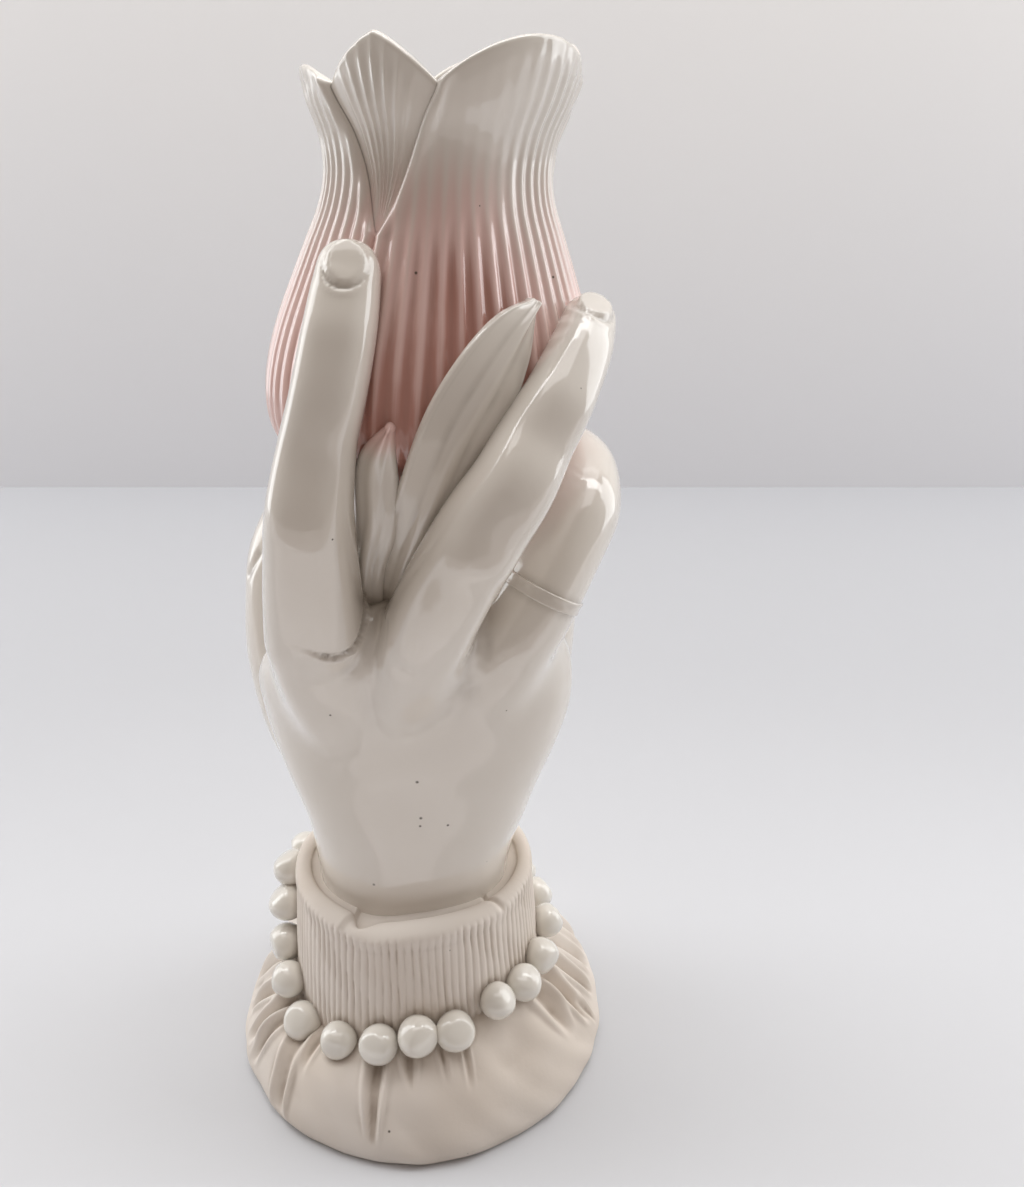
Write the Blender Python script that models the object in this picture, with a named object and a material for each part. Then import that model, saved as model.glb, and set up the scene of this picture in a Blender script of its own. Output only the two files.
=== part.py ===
"""Porcelain hand vase: a right hand rises out of a pleated cuff and holds a tulip cup.

The vase is one casting. The hand, cuff, pearl bracelet, gathered frill, leaves and tulip
are modelled as forms of their own, joined into one solid, and then the hollow under the
foot is cut out. Sizes are in millimetres, and the finished mesh is scaled to metres.
+Z is up, the back of the hand faces -Y, and the origin is the centre of the foot.
"""

import math

import bmesh
import bpy
from mathutils import Matrix, Vector

METRES_PER_MM = 0.001

# Stack of the vase, from the table up
SEAM_HEIGHT = 20.0
CUFF_HEIGHT = 25.0
PALM_LENGTH = 58.0
STEM_LENGTH = 24.5
FLOWER_HEIGHT = 72.5

CUFF_TOP = SEAM_HEIGHT + CUFF_HEIGHT
KNUCKLE_HEIGHT = CUFF_TOP + PALM_LENGTH
FLOWER_BOTTOM = KNUCKLE_HEIGHT + STEM_LENGTH

# Frill: the gathered cloth that makes the foot
FOOT_RADIUS = 40.0
FRILL_SHOULDER = 12.0
FRILL_ROWS = [0.0, 0.16, 0.3, 0.45, 0.65, 0.85, 1.0]
FRILL_STEP = 9.0
# Each fold: azimuth from the front in degrees under the pearls and at its foot,
# share of the way down where it starts and ends, half width in degrees, depth
FOLDS = [
    (-13.0, -8.5, 0.18, 0.92, 3.2, 2.1),
    (21.5, 19.0, 0.2, 0.72, 1.8, 1.2),
    (-49.0, -43.0, 0.25, 0.95, 2.3, 1.4),
    (-62.0, -67.0, 0.26, 0.8, 2.6, 1.9),
    (-72.0, -82.0, 0.24, 0.75, 2.8, 1.9),
    (-86.0, -94.0, 0.24, 0.75, 2.8, 1.8),
    (60.0, 64.0, 0.22, 0.6, 3.2, 2.1),
    (69.0, 76.0, 0.22, 0.72, 3.0, 2.1),
    (79.0, 88.0, 0.22, 0.72, 2.8, 1.9),
    (91.0, 101.0, 0.22, 0.75, 3.0, 1.9),
    (108.0, 113.0, 0.22, 0.8, 3.0, 2.0),
    (121.0, 125.0, 0.22, 0.7, 2.6, 1.6),
    (134.0, 136.0, 0.22, 0.85, 3.2, 2.1),
    (148.0, 145.0, 0.22, 0.75, 2.8, 1.7),
    (161.0, 163.0, 0.22, 0.85, 3.0, 2.0),
    (174.0, 172.0, 0.22, 0.7, 2.8, 1.7),
    (-173.0, -170.0, 0.22, 0.85, 3.2, 2.1),
    (-160.0, -163.0, 0.22, 0.75, 2.8, 1.7),
    (-147.0, -145.0, 0.22, 0.85, 3.0, 2.0),
    (-134.0, -138.0, 0.22, 0.75, 2.8, 1.8),
    (-121.0, -124.0, 0.22, 0.85, 3.2, 2.1),
    (-106.0, -109.0, 0.22, 0.75, 2.8, 1.8),
]

# Cuff: an upright band with fine pleats and a rolled edge
CUFF_BOTTOM_RADIUS = 27.0
CUFF_TOP_RADIUS = 24.9
CUFF_EDGE = 3.2
CUFF_PLEATS = 68
PLEAT_DEPTH = 0.5
CUFF_CREVICE = 3.0

# Pearl bracelet: follows the seam in front and climbs over the cuff behind
PEARL_RADIUS = 3.9
PEARL_SEAT = 1.6
# Each pearl: azimuth from the front in degrees, height above the seam
PEARLS = [
    (-97.0, 18.5),
    (-88.0, 12.5),
    (-81.0, 4.5),
    (-67.0, 0.5),
    (-52.0, -4.4),
    (-29.0, -1.6),
    (-11.0, 0.5),
    (4.4, 3.0),
    (19.6, 2.7),
    (39.0, 5.9),
    (54.0, 5.2),
    (71.0, 5.3),
    (91.0, 6.0),
    (112.0, 4.7),
    (127.0, 6.5),
    (142.0, 8.5),
    (157.0, 10.5),
    (172.5, 12.5),
    (187.5, 14.0),
    (202.5, 15.5),
    (217.5, 16.5),
    (232.5, 17.5),
    (248.0, 18.2),
]
# Height of the frill's upper edge above the seam: azimuth from the front in degrees, height
FRILL_RISE = [
    (-180.0, 11.0),
    (-135.0, 12.0),
    (-100.0, 9.0),
    (-80.0, 2.5),
    (-55.0, -4.5),
    (-30.0, -2.5),
    (0.0, 1.0),
    (40.0, 5.0),
    (75.0, 5.5),
    (110.0, 5.0),
    (150.0, 8.0),
]

# Palm and wrist: height, centre x, centre y, half width, half depth.
# Heights are shares of the way from the table to the knuckles.
WRIST_HALF_WIDTH = 20.2
WRIST_HALF_DEPTH = 16.6
PALM_HALF_WIDTH = 30.2
PALM_HALF_DEPTH = 15.6

# Fingers: centre x, centre y, height above the knuckles, half width, half depth.
# All of the hand's tables are in palm half widths.
INDEX_REACH = [
    (-0.265, -0.232, -0.861, 0.265, 0.232),
    (-0.397, -0.397, -0.397, 0.291, 0.265),
    (-0.47, -0.497, -0.017, 0.291, 0.272),
    (-0.454, -0.609, 0.331, 0.275, 0.258),
    (-0.427, -0.702, 0.646, 0.252, 0.238),
    (-0.397, -0.762, 0.96, 0.228, 0.225),
]
MIDDLE_REACH = [
    (0.033, -0.232, -0.927, 0.248, 0.232),
    (0.04, -0.397, -0.397, 0.265, 0.258),
    (0.106, -0.53, -0.066, 0.265, 0.272),
    (0.225, -0.649, 0.265, 0.248, 0.265),
    (0.368, -0.735, 0.579, 0.238, 0.255),
    (0.523, -0.795, 0.868, 0.232, 0.245),
    (0.669, -0.795, 1.093, 0.219, 0.228),
]
RING_REACH = [
    (0.43, -0.166, -0.993, 0.232, 0.232),
    (0.517, -0.331, -0.43, 0.245, 0.252),
    (0.616, -0.411, -0.149, 0.245, 0.258),
    (0.762, -0.444, 0.166, 0.232, 0.245),
    (0.917, -0.371, 0.464, 0.225, 0.238),
    (1.056, -0.166, 0.722, 0.225, 0.238),
    (1.093, 0.132, 0.861, 0.212, 0.225),
    (0.98, 0.447, 0.911, 0.199, 0.205),
    (0.745, 0.712, 0.944, 0.175, 0.175),
]
LITTLE_REACH = [
    (0.596, -0.033, -1.093, 0.248, 0.232),
    (0.762, -0.033, -0.596, 0.258, 0.245),
    (0.838, 0.083, -0.199, 0.242, 0.238),
    (0.858, 0.232, 0.132, 0.232, 0.232),
    (0.811, 0.43, 0.397, 0.222, 0.222),
    (0.639, 0.613, 0.613, 0.199, 0.199),
    (0.424, 0.679, 0.728, 0.172, 0.172),
]
THUMB_REACH = [
    (-0.43, 0.099, -1.391, 0.265, 0.265),
    (-0.679, 0.182, -0.96, 0.315, 0.298),
    (-0.805, 0.285, -0.497, 0.298, 0.298),
    (-0.834, 0.364, -0.132, 0.275, 0.275),
    (-0.788, 0.457, 0.232, 0.262, 0.258),
    (-0.649, 0.606, 0.563, 0.245, 0.225),
    (-0.464, 0.755, 0.828, 0.209, 0.185),
]
# Where a finger lies on the flower: azimuth, share of the flower's height, radius
INDEX_GRIP = [
    (-27.6, 0.196, 0.202),
    (-24.5, 0.305, 0.192),
    (-23.8, 0.425, 0.185),
    (-24.6, 0.497, 0.175),
    (-25.7, 0.552, 0.162),
]
MIDDLE_GRIP = [
    (33.5, 0.197, 0.205),
    (42.0, 0.287, 0.185),
    (54.0, 0.375, 0.166),
    (64.5, 0.426, 0.146),
]
FINGER_SINK = 1.5
INDEX_FACING = -6.0
MIDDLE_FACING = 16.0
FINGER_SEGMENTS = 20
NAIL_WIDTH = 3.4
NAIL_LENGTH = 4.0
NAIL_LIFT = 0.5
INDEX_NAIL_BACK = 0.8
MIDDLE_NAIL_BACK = 0.45
BAND_PLACE = 3.55
BAND_THICKNESS = 1.1

# Stem, and leaves: first as a finger's reach, then azimuth, share of height, half width
STEM_RADIUS = 6.5
SMALL_LEAF_FOOT = [
    (-0.152, -0.331, 0.132, 0.053, 0.040),
    (-0.126, -0.464, 0.510, 0.080, 0.046),
    (-0.066, -0.596, 0.830, 0.123, 0.050),
]
SMALL_LEAF_TOP = [
    (-12.7, 0.149, 0.113),
    (-8.0, 0.238, 0.030),
]
LARGE_LEAF_FOOT = [
    (0.0, -0.331, 0.132, 0.073, 0.043),
    (0.086, -0.497, 0.513, 0.123, 0.053),
    (0.212, -0.636, 0.894, 0.172, 0.056),
]
LARGE_LEAF_TOP = [
    (12.2, 0.211, 0.205),
    (20.8, 0.326, 0.205),
    (30.8, 0.418, 0.152),
    (40.5, 0.477, 0.033),
]
LEAF_THICKNESS = 1.5
LEAF_LIFT = 0.4
LEAF_RIDGE = 0.5
LEAF_SEGMENTS = 12

# Tulip cup
FLOWER_AXIS_X = 4.1
FLOWER_AXIS_Y = 7.0
FLOWER_LEAN = 0.075
BELLY_RADIUS = 28.8
WAIST_RADIUS = 18.8
MOUTH_RADIUS = 23.4
FLOWER_WALL = 2.8
LIP_WALL = 1.5
CUP_FLOOR = 4.0
RIB_COUNT = 45
RIB_DEPTH = 0.42
FLOWER_ROWS = [0.025, 0.09, 0.17, 0.28, 0.4, 0.52, 0.62, 0.69, 0.77, 0.85, 0.93, 1.0]
CUP_ROWS = 5
CUP_SEGMENTS = 32
# Three outer petals meet at seams. Above a seam's foot an inner petal shows between them.
# Each seam: azimuth from the front, and how far the tip of the petal after it lies down
SEAMS = [(-23.5, 0.3), (109.0, 1.5), (219.0, 4.5)]
SEAM_FOOT = 0.62
SEAM_OPENING = 25.0
SEAM_GROOVE = 0.8
PETAL_OVERLAP = 1.0
PETAL_VALLEY = 6.5

# Hollow under the foot
FOOT_RIM = 6.5
HOLLOW_TOP = 62.0
HOLLOW_WALL = 5.0
HOLLOW_FLARE_X = 2.5
HOLLOW_FLARE_Y = 4.0
HOLLOW_SEGMENTS = 28

REMESH_VOXEL = 1.1
SLIVER = 0.001
SMOOTH_COUNT = 7
HAND_SHARE = 0.038

GLAZE_WHITE = (0.83, 0.81, 0.77, 1.0)


def between(table, key):
    """Value at key in a table of (key, value) pairs, on a smooth curve through them."""
    if key <= table[0][0]:
        return table[0][1]
    for i in range(len(table) - 1):
        (k0, v0), (k1, v1) = table[i], table[i + 1]
        if key <= k1:
            before = table[i - 1] if i else (2 * k0 - k1, v0)
            after = table[i + 2] if i + 2 < len(table) else (2 * k1 - k0, v1)
            slope0 = (v1 - before[1]) / (k1 - before[0])
            slope1 = (after[1] - v0) / (after[0] - k0)
            t, span = (key - k0) / (k1 - k0), k1 - k0
            return (
                v0 * (1 + 2 * t) * (1 - t) ** 2
                + v1 * t * t * (3 - 2 * t)
                + span * t * (1 - t) * (slope0 * (1 - t) - slope1 * t)
            )
    return table[-1][1]


def around(table, azimuth):
    """The same for a table that closes on itself after a full turn."""
    low = table[0][0]
    azimuth = low + (azimuth - low) % 360.0
    closed = [(k - 360.0, v) for k, v in table[-2:]] + table
    closed += [(k + 360.0, v) for k, v in table[:2]]
    return between(closed, azimuth)


def turned(azimuth):
    """Unit vector that points outwards at an azimuth counted from the front."""
    angle = math.radians(azimuth)
    return Vector((math.sin(angle), -math.cos(angle), 0.0))


def gap_between(a, b):
    """Smallest turn from azimuth b to azimuth a, from -180 to 180 degrees."""
    return (a - b + 180.0) % 360.0 - 180.0


def loft(name, rings, smooth=True):
    """A closed solid through rings of points, with a flat or pointed cap at each end."""
    form = bmesh.new()
    loops = []
    for ring in rings:
        corners = [form.verts.new(p) for p in ring]
        if len(corners) > 1:
            for a, b in zip(corners, corners[1:] + corners[:1]):
                form.edges.new((a, b))
        loops.append(corners)
    for low, high in zip(loops, loops[1:]):
        join_loops(form, low, high)
    for end in (loops[0], loops[-1]):
        if len(end) > 2:
            form.faces.new(end)
    bmesh.ops.recalc_face_normals(form, faces=form.faces)
    return finish(name, form, smooth)


def join_loops(form, low, high):
    """Faces between two rings. A ring of one point makes a fan."""
    if len(low) == 1 or len(high) == 1:
        tip, ring = (low[0], high) if len(low) == 1 else (high[0], low)
        for a, b in zip(ring, ring[1:] + ring[:1]):
            form.faces.new((a, b, tip))
    elif len(low) == len(high):
        for i in range(len(low)):
            j = (i + 1) % len(low)
            form.faces.new((low[i], low[j], high[j], high[i]))
    else:
        fine, coarse = (low, high) if len(low) > len(high) else (high, low)
        step = len(fine) // len(coarse)
        for i, corner in enumerate(coarse):
            span = [fine[(i * step + k) % len(fine)] for k in range(step + 1)]
            form.faces.new([corner] + span + [coarse[(i + 1) % len(coarse)]])


def finish(name, form, smooth=True):
    """Puts a bmesh into the scene as an object."""
    mesh = bpy.data.meshes.new(name)
    form.to_mesh(mesh)
    form.free()
    if smooth:
        mesh.shade_smooth()
    obj = bpy.data.objects.new(name, mesh)
    bpy.context.scene.collection.objects.link(obj)
    return obj


# The tulip


def flower_axis(height):
    """Centre of the flower at a height above its bottom."""
    return Vector((FLOWER_AXIS_X + FLOWER_LEAN * height, FLOWER_AXIS_Y, FLOWER_BOTTOM + height))


def flower_radius(height):
    """Radius of the flower's plain turned form at a height above its bottom."""
    share = height / FLOWER_HEIGHT
    profile = [
        (0.0, 0.26 * BELLY_RADIUS),
        (0.022, 0.50 * BELLY_RADIUS),
        (0.07, 0.76 * BELLY_RADIUS),
        (0.13, 0.92 * BELLY_RADIUS),
        (0.19, 0.985 * BELLY_RADIUS),
        (0.26, BELLY_RADIUS),
        (0.34, 0.975 * BELLY_RADIUS),
        (0.42, 0.92 * BELLY_RADIUS),
        (0.50, 0.845 * BELLY_RADIUS),
        (0.59, 0.756 * BELLY_RADIUS),
        (0.67, 1.04 * WAIST_RADIUS),
        (0.74, WAIST_RADIUS),
        (0.81, 0.4 * WAIST_RADIUS + 0.6 * 0.86 * MOUTH_RADIUS),
        (0.88, 0.925 * MOUTH_RADIUS),
        (0.95, 0.985 * MOUTH_RADIUS),
        (1.0, MOUTH_RADIUS),
    ]
    return between(profile, share)


def opening(share):
    """Half the angle between two outer petals at a share of the flower's height."""
    rise = max(0.0, (share - SEAM_FOOT) / (1.0 - SEAM_FOOT))
    return SEAM_OPENING * rise ** 0.8


def rim_height(azimuth):
    """Height of the mouth's edge, which follows the petals' points."""
    for i, (seam, tip_drop) in enumerate(SEAMS):
        after = SEAMS[(i + 1) % len(SEAMS)][0]
        span = (after - seam) % 360.0 - 2.0 * SEAM_OPENING
        past = (azimuth - seam - SEAM_OPENING) % 360.0
        if past <= span:
            across = abs(2.0 * past / span - 1.0)
            valley = PETAL_VALLEY * across ** 2.0
            return FLOWER_HEIGHT - valley - tip_drop * (1.0 - across)
        across = abs(gap_between(azimuth, seam)) / SEAM_OPENING
        if across <= 1.0:
            return FLOWER_HEIGHT - PETAL_VALLEY * across ** 1.3
    return FLOWER_HEIGHT


def row_height(azimuth, share):
    """Height of a row at an azimuth. Rows above the middle rise and fall with the edge."""
    if share <= 0.5:
        return share * FLOWER_HEIGHT
    rise = 2.0 * share - 1.0
    return FLOWER_HEIGHT * 0.5 + rise * (rim_height(azimuth) - 0.5 * FLOWER_HEIGHT)


def skin_point(azimuth, share, outside):
    """Point on the ribbed outside, on an outer petal or on an inner one."""
    height = row_height(azimuth, share)
    opened = max(0.0, 2.0 * share - 1.0)
    radius = flower_radius(height) + RIB_DEPTH * min(1.0, 8.0 * share) * (
        1.0 - 0.6 * opened
    ) * math.cos(math.radians(azimuth * RIB_COUNT))
    rise = max(0.0, (share - SEAM_FOOT) / (1.0 - SEAM_FOOT))
    if not outside:
        radius -= PETAL_OVERLAP * min(1.0, 3.0 * rise)
    return flower_axis(height) + turned(azimuth) * radius


def rib_samples(start, end):
    """Azimuths of the rib tops and grooves between two azimuths, with the ends themselves."""
    pitch = 180.0 / RIB_COUNT
    first = math.ceil(start / pitch + 0.3)
    last = math.floor(end / pitch - 0.3)
    return [start] + [pitch * i for i in range(first, last + 1)] + [end]


def flower_row(form, share):
    """A row round the outside: strips of (azimuth, corner) for outer and inner petals."""
    half = opening(share)
    outer, inner, seams = [], [], []
    if half == 0.0:
        for seam, _ in SEAMS:
            spot = skin_point(seam, share, True) - turned(seam) * SEAM_GROOVE
            seams.append(form.verts.new(spot))
    for i, (seam, _) in enumerate(SEAMS):
        j = (i + 1) % len(SEAMS)
        after = seam + (SEAMS[j][0] - seam) % 360.0
        angles = rib_samples(seam + half, after - half)
        if half == 0.0:
            inner.append([(seam, seams[i])])
            strip = [(a, form.verts.new(skin_point(a, share, True))) for a in angles[1:-1]]
            outer.append([(seam, seams[i])] + strip + [(after, seams[j])])
        else:
            outer.append([(a, form.verts.new(skin_point(a, share, True))) for a in angles])
            angles = rib_samples(seam - half, seam + half)
            inner.append([(a, form.verts.new(skin_point(a, share, False))) for a in angles])
    return outer, inner


def zip_strips(form, low, high):
    """Faces between two strips of (place, corner) whose corners differ in number."""
    i = j = 0
    while i < len(low) - 1 or j < len(high) - 1:
        next_low = low[i + 1][0] if i < len(low) - 1 else math.inf
        next_high = high[j + 1][0] if j < len(high) - 1 else math.inf
        if abs(next_low - next_high) < 0.01:
            corners = (low[i], low[i + 1], high[j + 1], high[j])
            i, j = i + 1, j + 1
        elif next_low < next_high:
            corners = (low[i], low[i + 1], high[j])
            i += 1
        else:
            corners = (low[i], high[j + 1], high[j])
            j += 1
        form.faces.new([corner for _, corner in corners])


def zip_rows(form, low, high):
    """Faces between two rows of the flower, with the step at each petal's edge."""
    for k in range(len(SEAMS)):
        zip_strips(form, low[0][k], high[0][k])
        zip_strips(form, low[1][k], high[1][k])
        for side in (0, -1):
            outer = k if side == 0 else k - 1
            steps = []
            for row in (low, high):
                ends = [row[1][k][-1 - side], row[0][outer][side]]
                if ends[0][1] == ends[1][1]:
                    ends.pop()
                steps.append([(n, corner) for n, (_, corner) in enumerate(ends)])
            if len(steps[0]) + len(steps[1]) > 2:
                if side:
                    steps = [[(-n, c) for n, c in reversed(strip)] for strip in steps]
                zip_strips(form, steps[0], steps[1])


def closed_loop(row):
    """A row's corners in one strip that runs once round the flower."""
    loop = []
    for k in range(len(SEAMS)):
        for strip in (row[0][k], row[1][(k + 1) % len(SEAMS)]):
            for angle, corner in strip:
                if not loop or corner != loop[-1][1]:
                    turn = SEAMS[0][0] + opening(1.0)
                    place = (angle - turn + 0.001) % 360.0
                    loop.append((place, corner))
    if loop[0][1] == loop[-1][1]:
        loop.pop()
    return loop


def cup_ring(form, share, inset):
    """Ring on the plain inside of the flower."""
    start = SEAMS[0][0] + opening(1.0)
    ring = []
    for i in range(CUP_SEGMENTS):
        place = 360.0 * (i + 0.25) / CUP_SEGMENTS
        height = row_height(start + place, share) - 0.3 * (share == 1.0)
        reach = flower_radius(height) - inset
        ring.append((place, form.verts.new(flower_axis(height) + turned(start + place) * reach)))
    return ring


def zip_loops(form, low, high):
    """Faces between two closed loops."""
    zip_strips(form, low + [(low[0][0] + 360.0, low[0][1])], high + [(high[0][0] + 360.0, high[0][1])])


def make_flower():
    """The tulip cup: ribbed outside, plain inside, with a thin lip."""
    form = bmesh.new()
    rows = [flower_row(form, share) for share in FLOWER_ROWS]
    for low, high in zip(rows, rows[1:]):
        zip_rows(form, low, high)
    fan(form, closed_loop(rows[0]), flower_axis(0.0))
    loop = closed_loop(rows[-1])
    floor_share = CUP_FLOOR / FLOWER_HEIGHT
    for row in range(CUP_ROWS + 1):
        share = 1.0 - (1.0 - floor_share) * row / CUP_ROWS
        thin = max(0.0, (share - 0.7) / 0.3)
        inside = cup_ring(form, share, PETAL_OVERLAP + FLOWER_WALL + (LIP_WALL - FLOWER_WALL) * thin)
        zip_loops(form, loop, inside)
        loop = inside
    fan(form, loop, flower_axis(CUP_FLOOR - 0.6))
    bmesh.ops.recalc_face_normals(form, faces=form.faces)
    return finish("flower_form", form)


def fan(form, loop, tip):
    """Faces from a closed loop to one point."""
    point = form.verts.new(tip)
    for (_, a), (_, b) in zip(loop, loop[1:] + loop[:1]):
        form.faces.new((a, b, point))


# The hand


def free_path(reach):
    """Stations over the knuckles, from a table in palm half widths."""
    unit = PALM_HALF_WIDTH
    knuckles = Vector((0.0, 0.0, KNUCKLE_HEIGHT))
    return [
        (knuckles + Vector((x, y, up)) * unit, wide * unit, deep * unit)
        for x, y, up, wide, deep in reach
    ]


def limb_path(reach, grip):
    """Stations of a finger: free ones over the knuckles, then ones that lie on the flower."""
    path = free_path(reach)
    for azimuth, share, girth in grip:
        height, radius = share * FLOWER_HEIGHT, girth * PALM_HALF_WIDTH
        lift = flower_radius(height) + radius - FINGER_SINK
        centre = flower_axis(height) + turned(azimuth) * lift
        path.append((centre, radius, radius))
    return path


def along(path, t):
    """Station at t, where whole numbers are the stations of the path."""
    index = min(int(t), len(path) - 2)
    t -= index
    p0, p1 = path[max(index - 1, 0)], path[index]
    p2, p3 = path[index + 1], path[min(index + 2, len(path) - 1)]
    mixed = []
    for a, b, c, d in zip(p0, p1, p2, p3):
        mixed.append(
            b
            + 0.5 * t * ((c - a) + t * ((2 * a - 5 * b + 4 * c - d) + t * (3 * b - a - 3 * c + d)))
        )
    return mixed


def heading(path, t):
    """Direction of the path at t."""
    step = 0.05
    ahead = along(path, min(t + step, len(path) - 1.001))[0]
    behind = along(path, max(t - step, 0.0))[0]
    return (ahead - behind).normalized()


def outward_at(centre, direction, facing):
    """Direction of a finger's back: a set azimuth, or straight away from the flower."""
    if facing is None:
        outward = Vector((centre.x - FLOWER_AXIS_X, centre.y - FLOWER_AXIS_Y, 0.0))
    else:
        outward = turned(facing)
    outward -= direction * outward.dot(direction)
    return outward.normalized()


def limb(name, path, facing=None, segments=FINGER_SEGMENTS, rows_per_station=2, cap_rows=3, ridge=0.0):
    """A rounded limb through its stations, with a round cap at each end.

    A ridge raises three ribs along the back, as on a leaf.
    """
    last = len(path) - 1.001
    body_rows = rows_per_station * (len(path) - 1)
    places = []
    for row in range(cap_rows + 1):
        angle = math.radians(90.0 * (row / cap_rows - 1.0))
        places.append((0.0, math.sin(angle), math.cos(angle)))
    places += [(last * row / body_rows, 0.0, 1.0) for row in range(1, body_rows + 1)]
    for row in range(1, cap_rows + 1):
        angle = math.radians(90.0 * row / cap_rows)
        places.append((last, math.sin(angle), math.cos(angle)))
    rings = []
    for t, reach, girth in places:
        centre, wide, deep = along(path, t)
        direction = heading(path, t)
        outward = outward_at(centre, direction, facing)
        side = direction.cross(outward)
        centre = centre + direction * reach * min(wide, deep)
        if girth < 0.01:
            rings.append([centre])
            continue
        ring = []
        for i in range(segments):
            angle = 2.0 * math.pi * i / segments
            across = side * (wide * girth * math.cos(angle))
            raised = ridge * girth * max(0.0, math.sin(angle)) * (i % 2)
            ring.append(centre + across + outward * (deep * girth * math.sin(angle) + raised))
        rings.append(ring)
    return loft(name, rings)


def palm_path():
    """Stations of the wrist and palm, from inside the cuff up to the knuckles."""
    top = KNUCKLE_HEIGHT
    cuff = CUFF_TOP
    palm = [
        (-1.0, 0.0, 0.50 * cuff, 0.97, 0.96, 0.0),
        (-0.9, 0.0, 0.75 * cuff, 0.99, 0.98, 0.0),
        (-0.8, 0.0, cuff, 1.0, 1.0, 0.0),
        (-0.4, 0.0, cuff + 0.15 * PALM_LENGTH, 1.0, 1.0, 0.13),
        (0.2, -0.4, cuff + 0.30 * PALM_LENGTH, 1.0, 1.0, 0.38),
        (0.6, -1.0, cuff + 0.47 * PALM_LENGTH, 1.0, 1.0, 0.68),
        (1.2, -2.4, cuff + 0.64 * PALM_LENGTH, 1.0, 1.0, 0.91),
        (1.8, -5.0, cuff + 0.80 * PALM_LENGTH, 1.0, 0.92, 1.0),
        (1.5, -8.6, cuff + 0.91 * PALM_LENGTH, 0.95, 0.78, 1.0),
        (1.0, -11.6, top - 1.0, 0.84, 0.60, 1.0),
    ]
    path = []
    for x, y, height, wide, deep, spread in palm:
        half_width = WRIST_HALF_WIDTH + spread * (PALM_HALF_WIDTH - WRIST_HALF_WIDTH)
        half_depth = WRIST_HALF_DEPTH + spread * (PALM_HALF_DEPTH - WRIST_HALF_DEPTH)
        path.append((Vector((x, y, height)), wide * half_width, deep * half_depth))
    return path


def leaf_path(foot, top):
    """Stations of a leaf: out of the hand, then flat on the flower."""
    path = free_path(foot)
    for azimuth, share, half_width in top:
        height = share * FLOWER_HEIGHT
        centre = flower_axis(height) + turned(azimuth) * (flower_radius(height) + LEAF_LIFT)
        path.append((centre, half_width * PALM_HALF_WIDTH, LEAF_THICKNESS))
    return path


def make_leaf(name, foot, top):
    """A leaf that rises from the hand and lies flat on the flower."""
    return limb(name, leaf_path(foot, top), None, LEAF_SEGMENTS, 2, 2, LEAF_RIDGE)


def make_hand():
    """Palm, digits and stem, fused into one skin and smoothed where they meet."""
    stem = [
        (Vector((1.0, -1.0, KNUCKLE_HEIGHT - 0.4 * PALM_HALF_WIDTH)), STEM_RADIUS, STEM_RADIUS),
        (Vector((3.2, 3.0, KNUCKLE_HEIGHT + 0.25 * STEM_LENGTH)), STEM_RADIUS, STEM_RADIUS),
        (flower_axis(-0.7 * STEM_RADIUS), STEM_RADIUS, STEM_RADIUS),
    ]
    forms = [
        limb("palm_form", palm_path(), 0.0, 36, 2, 4),
        limb("index_form", limb_path(INDEX_REACH, INDEX_GRIP), INDEX_FACING),
        limb("middle_form", limb_path(MIDDLE_REACH, MIDDLE_GRIP), MIDDLE_FACING),
        limb("ring_form", limb_path(RING_REACH, [])),
        limb("little_form", limb_path(LITTLE_REACH, [])),
        limb("thumb_form", limb_path(THUMB_REACH, [])),
        limb("stem_form", stem),
    ]
    hand = joined("hand_form", forms)
    skin = hand.modifiers.new("skin", "REMESH")
    skin.mode = "VOXEL"
    skin.voxel_size = REMESH_VOXEL
    soften = hand.modifiers.new("soften", "SMOOTH")
    soften.factor = 0.5
    soften.iterations = SMOOTH_COUNT
    thin_out = hand.modifiers.new("thin_out", "DECIMATE")
    thin_out.ratio = HAND_SHARE
    return hand


def make_nail(name, path, facing, back):
    """A nail plate, a flat oval that stands a little proud of the fingertip."""
    t = len(path) - 1.001 - back
    centre, _, deep = along(path, t)
    direction = heading(path, t)
    outward = outward_at(centre, direction, facing)
    side = direction.cross(outward)
    form = bmesh.new()
    bmesh.ops.create_uvsphere(form, u_segments=12, v_segments=6, radius=1.0)
    axes = Matrix((side, direction, outward)).transposed()
    size = Matrix.Diagonal((NAIL_WIDTH, NAIL_LENGTH, 1.6))
    place = Matrix.Translation(centre + outward * (deep + NAIL_LIFT - 1.6))
    bmesh.ops.transform(form, matrix=place @ (axes @ size).to_4x4(), verts=form.verts)
    return finish(name, form)


def make_band():
    """The plain finger ring, a round band on the ring finger."""
    path = limb_path(RING_REACH, [])
    centre, wide, deep = along(path, BAND_PLACE)
    direction = heading(path, BAND_PLACE)
    outward = outward_at(centre, direction, None)
    side = direction.cross(outward)
    steps, sides = 20, 6
    form = bmesh.new()
    corners = []
    for i in range(steps):
        angle = 2.0 * math.pi * i / steps
        spoke = side * math.cos(angle) + outward * math.sin(angle)
        middle = centre + side * (wide * math.cos(angle)) + outward * (deep * math.sin(angle))
        for k in range(sides):
            turn = 2.0 * math.pi * k / sides
            offset = spoke * math.cos(turn) + direction * math.sin(turn)
            corners.append(form.verts.new(middle + offset * BAND_THICKNESS))
    for i in range(steps):
        for k in range(sides):
            a, b = i * sides, (i + 1) % steps * sides
            n = (k + 1) % sides
            form.faces.new((corners[a + k], corners[b + k], corners[b + n], corners[a + n]))
    bmesh.ops.recalc_face_normals(form, faces=form.faces)
    return finish("band_form", form)


# The cuff, bracelet and frill


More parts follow.
